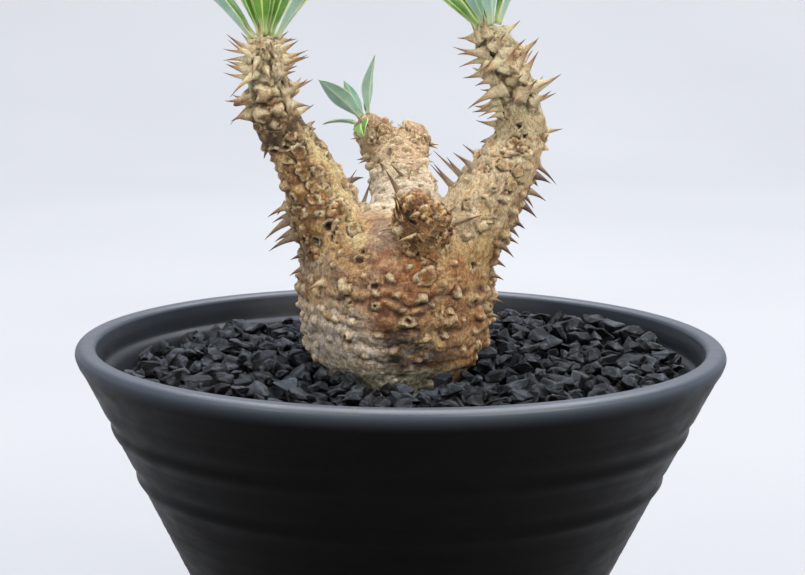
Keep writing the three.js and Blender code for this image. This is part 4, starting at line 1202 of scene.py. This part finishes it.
class Paint:
    """A material built in coats. Its patterns are laid out in millimetres on the object."""

    def __init__(self, name, roughness=0.7, gloss=0.5):
        self.material = bpy.data.materials.new(name)
        self.material.use_nodes = True
        self.tree = self.material.node_tree
        self.shader = next(n for n in self.tree.nodes if n.type == "BSDF_PRINCIPLED")
        self.put(self.shader, {"Roughness": roughness, "Specular IOR Level": gloss})
        place = self.node("TexCoord").outputs["Object"]
        self.place = self.node("VectorMath", {0: place, "Scale": 1 / MM}, operation="SCALE").outputs[0]
        self.colour = self.normal = None

    def put(self, node, inputs):
        """Fills inputs of a node, each with another node's output, a number or a colour."""
        for key, value in inputs.items():
            if isinstance(value, bpy.types.NodeSocket):
                self.tree.links.new(value, node.inputs[key])
            elif value is not None:
                node.inputs[key].default_value = rgba(value) if isinstance(value, str) else value

    def node(self, kind, inputs=None, **settings):
        node = self.tree.nodes.new("ShaderNode" + kind)
        for key, value in settings.items():
            setattr(node, key, value)
        self.put(node, inputs or {})
        return node

    def math(self, operation, a, b=0.5, clamp=False):
        return self.node("Math", {0: a, 1: b}, operation=operation, use_clamp=clamp).outputs[0]

    def upward(self, vector):
        """The Z of a vector."""
        return self.node("SeparateXYZ", {0: vector}).outputs["Z"]

    def noise(self, size, detail=4, roughness=0.55, stretch=(1, 1, 1), warp=0.0):
        place = self.node("VectorMath", {0: self.place, 1: stretch}, operation="MULTIPLY").outputs[0]
        inputs = {"Vector": place, "Scale": 1 / size, "Detail": detail, "Roughness": roughness}
        return self.node("TexNoise", {**inputs, "Distortion": warp}).outputs["Fac"]

    def creases(self, *size_and_detail, **settings):
        """A number that is 0 along thin wandering lines and rises on both sides."""
        return self.math("ABSOLUTE", self.math("SUBTRACT", self.noise(*size_and_detail, **settings)))

    def cells(self, size):
        return self.node("TexVoronoi", {"Vector": self.place, "Scale": 1 / size}).outputs["Distance"]

    def attribute(self, name, output="Fac"):
        return self.node("Attribute", attribute_name=name).outputs[output]

    def ramp(self, value, *stops):
        """stops: place, shade, place, shade and so on; a shade is a number or a hex colour."""
        node = self.node("ValToRGB", {"Fac": value})
        elements = node.color_ramp.elements
        while len(elements) < len(stops) / 2:
            elements.new(0.5)
        for element, place, shade in zip(elements, stops[::2], stops[1::2]):
            element.position = place
            element.color = rgba(shade) if isinstance(shade, str) else (shade, shade, shade, 1)
        return node.outputs["Color"]

    def mix(self, weight, a, b, mode="MIX"):
        inputs = {"Factor": weight, "A": a, "B": b}
        return self.node("Mix", inputs, data_type="RGBA", blend_type=mode).outputs["Result"]

    def coat(self, colour, value, *stops):
        """Lays a colour over the last one; the stops turn the value into how strongly."""
        self.colour = self.mix(self.ramp(value, *stops) if stops else value, self.colour, colour)

    def contrast(self, weight, value, *stops):
        """Darkens and lightens the colour by a pattern."""
        self.colour = self.mix(weight, self.colour, self.ramp(value, *stops), "OVERLAY")

    def bump(self, height, distance, strength):
        """height from 0 to 1 stands for distance millimetres."""
        inputs = {"Strength": strength, "Distance": distance * MM, "Height": height, "Normal": self.normal}
        self.normal = self.node("Bump", inputs).outputs["Normal"]

    def finish(self, value=None, *stops):
        """The material; the stops turn the value into a roughness."""
        roughness = None if value is None else self.ramp(value, *stops)
        self.put(self.shader, {"Base Color": self.colour, "Roughness": roughness, "Normal": self.normal})
        return self.material


def bark_material():
    paint = Paint("bark", 0.75)
    fine = paint.noise(0.9, 6, 0.7)
    grain = paint.noise(0.32, 4, 0.7)
    fissures = paint.creases(1.6, 4, 0.65, stretch=(1.0, 1.0, 0.45), warp=0.5)
    crackle = paint.creases(0.8, 3, 0.6, warp=0.3)
    wrinkles = paint.noise(1.2, 5, 0.65, stretch=(0.3, 0.3, 1.3), warp=0.6)
    paint.colour = paint.attribute("tint", "Color")
    paint.contrast(0.6, fine, 0.34, 0.3, 0.5, 0.58, 0.66, 0.9)
    paint.contrast(0.4, grain, 0.36, 0.25, 0.64, 0.85)
    paint.coat("4d3620", fissures, 0.0, 0.45, 0.05, 0.0)
    paint.coat("5a4028", crackle, 0.0, 0.22, 0.07, 0.0)
    paint.coat("ecdcba", wrinkles, 0.56, 0.0, 0.68, 0.3)
    crumble = paint.ramp(paint.cells(0.9), 0.2, 0.6, 0.5, 0.0)
    paint.coat("24160c", paint.math("MULTIPLY", paint.attribute("stub"), crumble))
    paint.bump(paint.ramp(fissures, 0.0, 0.0, 0.12, 1.0), 0.3, 0.8)
    paint.bump(paint.ramp(crackle, 0.0, 0.0, 0.2, 1.0), 0.12, 0.7)
    paint.bump(wrinkles, 0.3, 0.5)
    paint.bump(fine, 0.38, 0.8)
    paint.bump(grain, 0.2, 0.9)
    return paint.finish(fine, 0.3, 0.62, 0.7, 0.85)


def spine_material():
    paint = Paint("spine")
    along = paint.attribute("along")
    streak = paint.noise(0.5, 5, 0.7)
    mottle = paint.noise(1.8, 5, 0.7)
    young = (0.0, "c2b792", 0.35, "d8c9a0", 0.6, "b8966a", 0.8, "8a6144", 1.0, "4d3a30")
    old = (0.0, "a08467", 0.2, "7d6558", 0.6, "594746", 1.0, "2e292a")
    paint.colour = paint.ramp(along, *young)
    paint.coat(paint.ramp(along, *old), paint.attribute("age"))
    paint.coat("94774e", mottle, 0.48, 0.0, 0.62, 0.55)
    paint.contrast(0.5, streak, 0.34, 0.25, 0.66, 0.85)
    paint.bump(streak, 0.25, 0.7)
    paint.bump(mottle, 0.4, 0.6)
    return paint.finish(streak, 0.3, 0.5, 0.7, 0.7)


def shred_material():
    paint = Paint("dead_bark", 0.8)
    fibre = paint.noise(0.4, 5, 0.6)
    shades = (0.0, "4a3220", 0.35, "7d5a36", 0.7, "ab8a5e", 1.0, "d2b98e")
    paint.colour = paint.ramp(paint.attribute("age"), *shades)
    paint.contrast(0.5, fibre, 0.3, 0.35, 0.7, 1.0)
    paint.bump(fibre, 0.15, 0.6)
    return paint.finish()


def leaf_material(name, blade, blade_other, midrib, margin, roughness):
    """One side of a leaf. blade and blade_other are its two greens."""
    paint = Paint(name, roughness)
    across = paint.math("ABSOLUTE", paint.attribute("across"))
    along = paint.attribute("along")
    slant = paint.math("ADD", paint.math("MULTIPLY", along, 26.0), paint.math("MULTIPLY", across, -2.2))
    place = paint.node("CombineXYZ", {"X": slant}).outputs[0]
    veins = paint.node("TexWave", {"Vector": place, "Scale": 0.6}, bands_direction="X").outputs["Fac"]
    paint.colour = paint.mix(paint.ramp(paint.noise(3.0, 4, 0.6), 0.35, 0.0, 0.7, 1.0), blade, blade_other)
    paint.coat(midrib, veins, 0.55, 0.0, 0.95, 0.14)
    paint.coat("cfd79f", along, 0.0, 0.85, 0.14, 0.0)
    paint.coat(midrib, across, 0.06, 0.85, 0.15, 0.0)
    paint.coat(margin, across, 0.88, 0.0, 0.96, 0.7)
    paint.bump(paint.ramp(veins, 0.55, 0.0, 0.95, 1.0), 0.08, 0.5)
    paint.bump(paint.noise(0.6, 3), 0.06, 0.4)
    return paint.finish()


def pot_material(name, dark, light, specks, painted_lip_sheen, gloss):
    paint = Paint(name, gloss=gloss)
    cloud = paint.noise(9, 5, 0.6, stretch=(1, 1, 2.2))
    speck = paint.noise(0.7, 4, 0.7)
    paint.colour = paint.mix(paint.ramp(cloud, 0.35, 0.0, 0.7, 1.0), dark, light)
    paint.coat(specks, speck, 0.62, 0.0, 0.74, 0.2)
    # painted sheen: the colour lightens towards the lip over the 5 mm below it
    height = paint.math("SUBTRACT", paint.upward(paint.place), POT_HEIGHT - 5.0)
    paint.coat(painted_lip_sheen, paint.math("POWER", paint.math("DIVIDE", height, 4.0, clamp=True), 2.0))
    paint.bump(paint.noise(1.6, 3, 0.5, stretch=(0.05, 0.05, 1.0)), 0.12, 0.4)
    paint.bump(speck, 0.06, 0.5)
    return paint.finish(cloud, 0.3, 0.36, 0.7, 0.52)


def stone_material():
    paint = Paint("crushed_stone", gloss=0.16)
    grain = paint.noise(1.1, 7, 0.75, stretch=(1, 1, 1.6), warp=0.5)
    shades = (0.0, "08090b", 0.45, "0d0f11", 0.8, "15171a", 0.94, "1f2226", 1.0, "28231f")
    paint.colour = paint.ramp(paint.attribute("age"), *shades)
    paint.contrast(0.6, grain, 0.3, 0.3, 0.7, 0.85)
    # painted light: facets that face up are coated lighter blue-grey, as light from above, and edges get
    # painted highlights
    facing = paint.upward(paint.node("NewGeometry").outputs["Normal"])
    patches = paint.ramp(grain, 0.38, 0.25, 0.62, 1.0)
    painted_top_light = paint.ramp(facing, 0.3, 0.0, 0.95, 0.7)
    edges = paint.ramp(paint.attribute("edge"), 0.6, 0.0, 1.0, 0.75)
    for shade, value in (("495058", painted_top_light), ("78808a", edges)):
        paint.coat(shade, paint.math("MULTIPLY", value, patches))
    # painted shade in the chips' hollows
    paint.coat("060708", paint.attribute("hollow_shade"), 0.4, 0.0, 0.9, 0.7)
    paint.bump(grain, 1.2, 1.0)
    paint.bump(paint.noise(0.6, 5, 0.7), 0.5, 0.9)
    paint.bump(paint.noise(0.22, 3, 0.6), 0.2, 0.9)
    return paint.finish(grain, 0.3, 0.4, 0.7, 0.66)


def grain_material(name, dark, light, size, roughness):
    """Loose or moulded matter that is hidden, or nearly so."""
    paint = Paint(name, roughness)
    lumps = paint.cells(size)
    fine = paint.noise(size * 0.3, 4)
    paint.colour = paint.mix(paint.ramp(lumps, 0.1, 0.0, 0.8, 1.0), light, dark)
    paint.contrast(0.4, fine, 0.3, 0.4, 0.7, 1.0)
    paint.bump(lumps, size * 0.4, 0.8)
    paint.bump(fine, size * 0.1, 0.6)
    return paint.finish()


# ---------------------------------------------------------------- scene


def make_floor():
    """A pale floor that curves up into a backdrop."""
    paint = Paint("studio", 0.9)
    paint.colour = paint.ramp(paint.noise(500, 2), 0.3, "a0a1a4", 0.7, "a7a8aa")
    width, front, back, bend, top = 5000.0, -2400.0, 2000.0, 700.0, 2600.0
    profile = [(front, 0.0), (back - bend, 0.0)]
    for angle in np.radians(np.linspace(0, 90, 16)[1:]):
        profile.append((back - bend + bend * math.sin(angle), bend - bend * math.cos(angle)))
    profile.append((back, top))
    vertices = [(side * width / 2, y, z) for y, z in profile for side in (-1, 1)]
    faces = [(2 * i, 2 * i + 1, 2 * i + 3, 2 * i + 2) for i in range(len(profile) - 1)]
    floor = add_mesh("floor", np.array(vertices), faces, [paint.finish()])


def add_light(name, place, aim, size, power, colour):
    light = bpy.data.lights.new(name, "AREA")
    light.shape = "RECTANGLE"
    light.size, light.size_y = size
    light.energy = power
    light.color = srgb(colour)
    obj = bpy.data.objects.new(name, light)
    obj.location = place
    obj.rotation_euler = (Vector(aim) - Vector(place)).to_track_quat("-Z", "Y").to_euler()
    bpy.context.scene.collection.objects.link(obj)


def light_the_scene():
    bpy.context.scene.view_settings.view_transform = "Standard"
    world = bpy.data.worlds.new("studio_air")
    world.use_nodes = True
    background = world.node_tree.nodes["Background"]
    background.inputs["Color"].default_value = rgba("e6eefa")
    background.inputs["Strength"].default_value = 0.42
    bpy.context.scene.world = world
    middle = (0, 0, 0.12)
    add_light("overhead", (0.1, 0.6, 2.2), (0, 0.3, 0), (3.0, 3.0), 138, "f8faff")
    add_light("front_left", (-1.0, -1.1, 0.9), middle, (0.9, 0.9), 9, "fff6ea")
    add_light("front_right", (1.0, -1.0, 0.9), middle, (0.9, 0.9), 15, "fff6ea")


def add_camera():
    """The camera stands level with the viewer's eye: 446 mm in front and 86 mm above the lip."""
    camera = bpy.data.cameras.new("camera")
    camera.sensor_width = 36
    camera.lens = 87.2
    camera.clip_start = 0.01
    obj = bpy.data.objects.new("camera", camera)
    pitch, roll = math.radians(9.4), math.radians(0.54)
    turn = Matrix.Rotation(math.radians(90) - pitch, 4, "X") @ Matrix.Rotation(roll, 4, "Z")
    obj.matrix_world = Matrix.Translation((0.00025, -0.4463, (POT_HEIGHT + 86) * MM)) @ turn
    bpy.context.scene.collection.objects.link(obj)
    bpy.context.scene.camera = obj


def paint_node(node, material):
    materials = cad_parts[node].data.materials
    materials.clear()
    materials.append(material)


def place_piece(piece, slot, *nodes):
    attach(piece, "root")
    if nodes:
        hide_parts(*nodes)


def main():
    add_camera()
    bark, tree = make_bark(bark_material())
    place_piece(bark, "bark", "stem")
    place_piece(make_spines(tree, spine_material()), "bark")
    place_piece(make_shreds(tree, shred_material()), "bark")
    upper = leaf_material("leaf_upper", "3d7010", "5c8c1c", "c3d47c", "d3dfa4", 0.38)
    under = leaf_material("leaf_under", "8fb9a6", "a9cfc0", "dfe8c4", "e4efd2", 0.5)
    make_leaves([upper, under])
    # copies of one black glaze: the outer wall's kept darkest, as painted shade; the lip's and the inside's
    # painted lighter blue-grey, as painted reflection of the bright room
    outside = pot_material("black_ceramic", "050506", "090908", "1c1b1a", "4a525c", 0.05)
    lip = pot_material("black_ceramic_lip_painted_sheen", "28303a", "323a45", "4a515a", "323a45", 0.8)
    inside = pot_material("black_ceramic_inside_painted_light", "12171d", "1a2027", "2b3037", "28303a", 0.42)
    place_piece(make_pot([outside, lip, inside]), "pot", "pot")
    loose = [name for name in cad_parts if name.startswith("loose_chip")]
    place_piece(make_stones(stone_material()), "dressing", "gravel_layer", *loose)
    paint_node("potting_mix", grain_material("potting_mix", "1c130c", "4a3626", 2.4, 0.95))
    paint_node("drainage_gravel", grain_material("pumice", "857c69", "cfc7b4", 4.0, 0.9))
    paint_node("drainage_mesh", grain_material("net", "163a20", "24512f", 1.2, 0.6))
    make_floor()
    light_the_scene()


main()
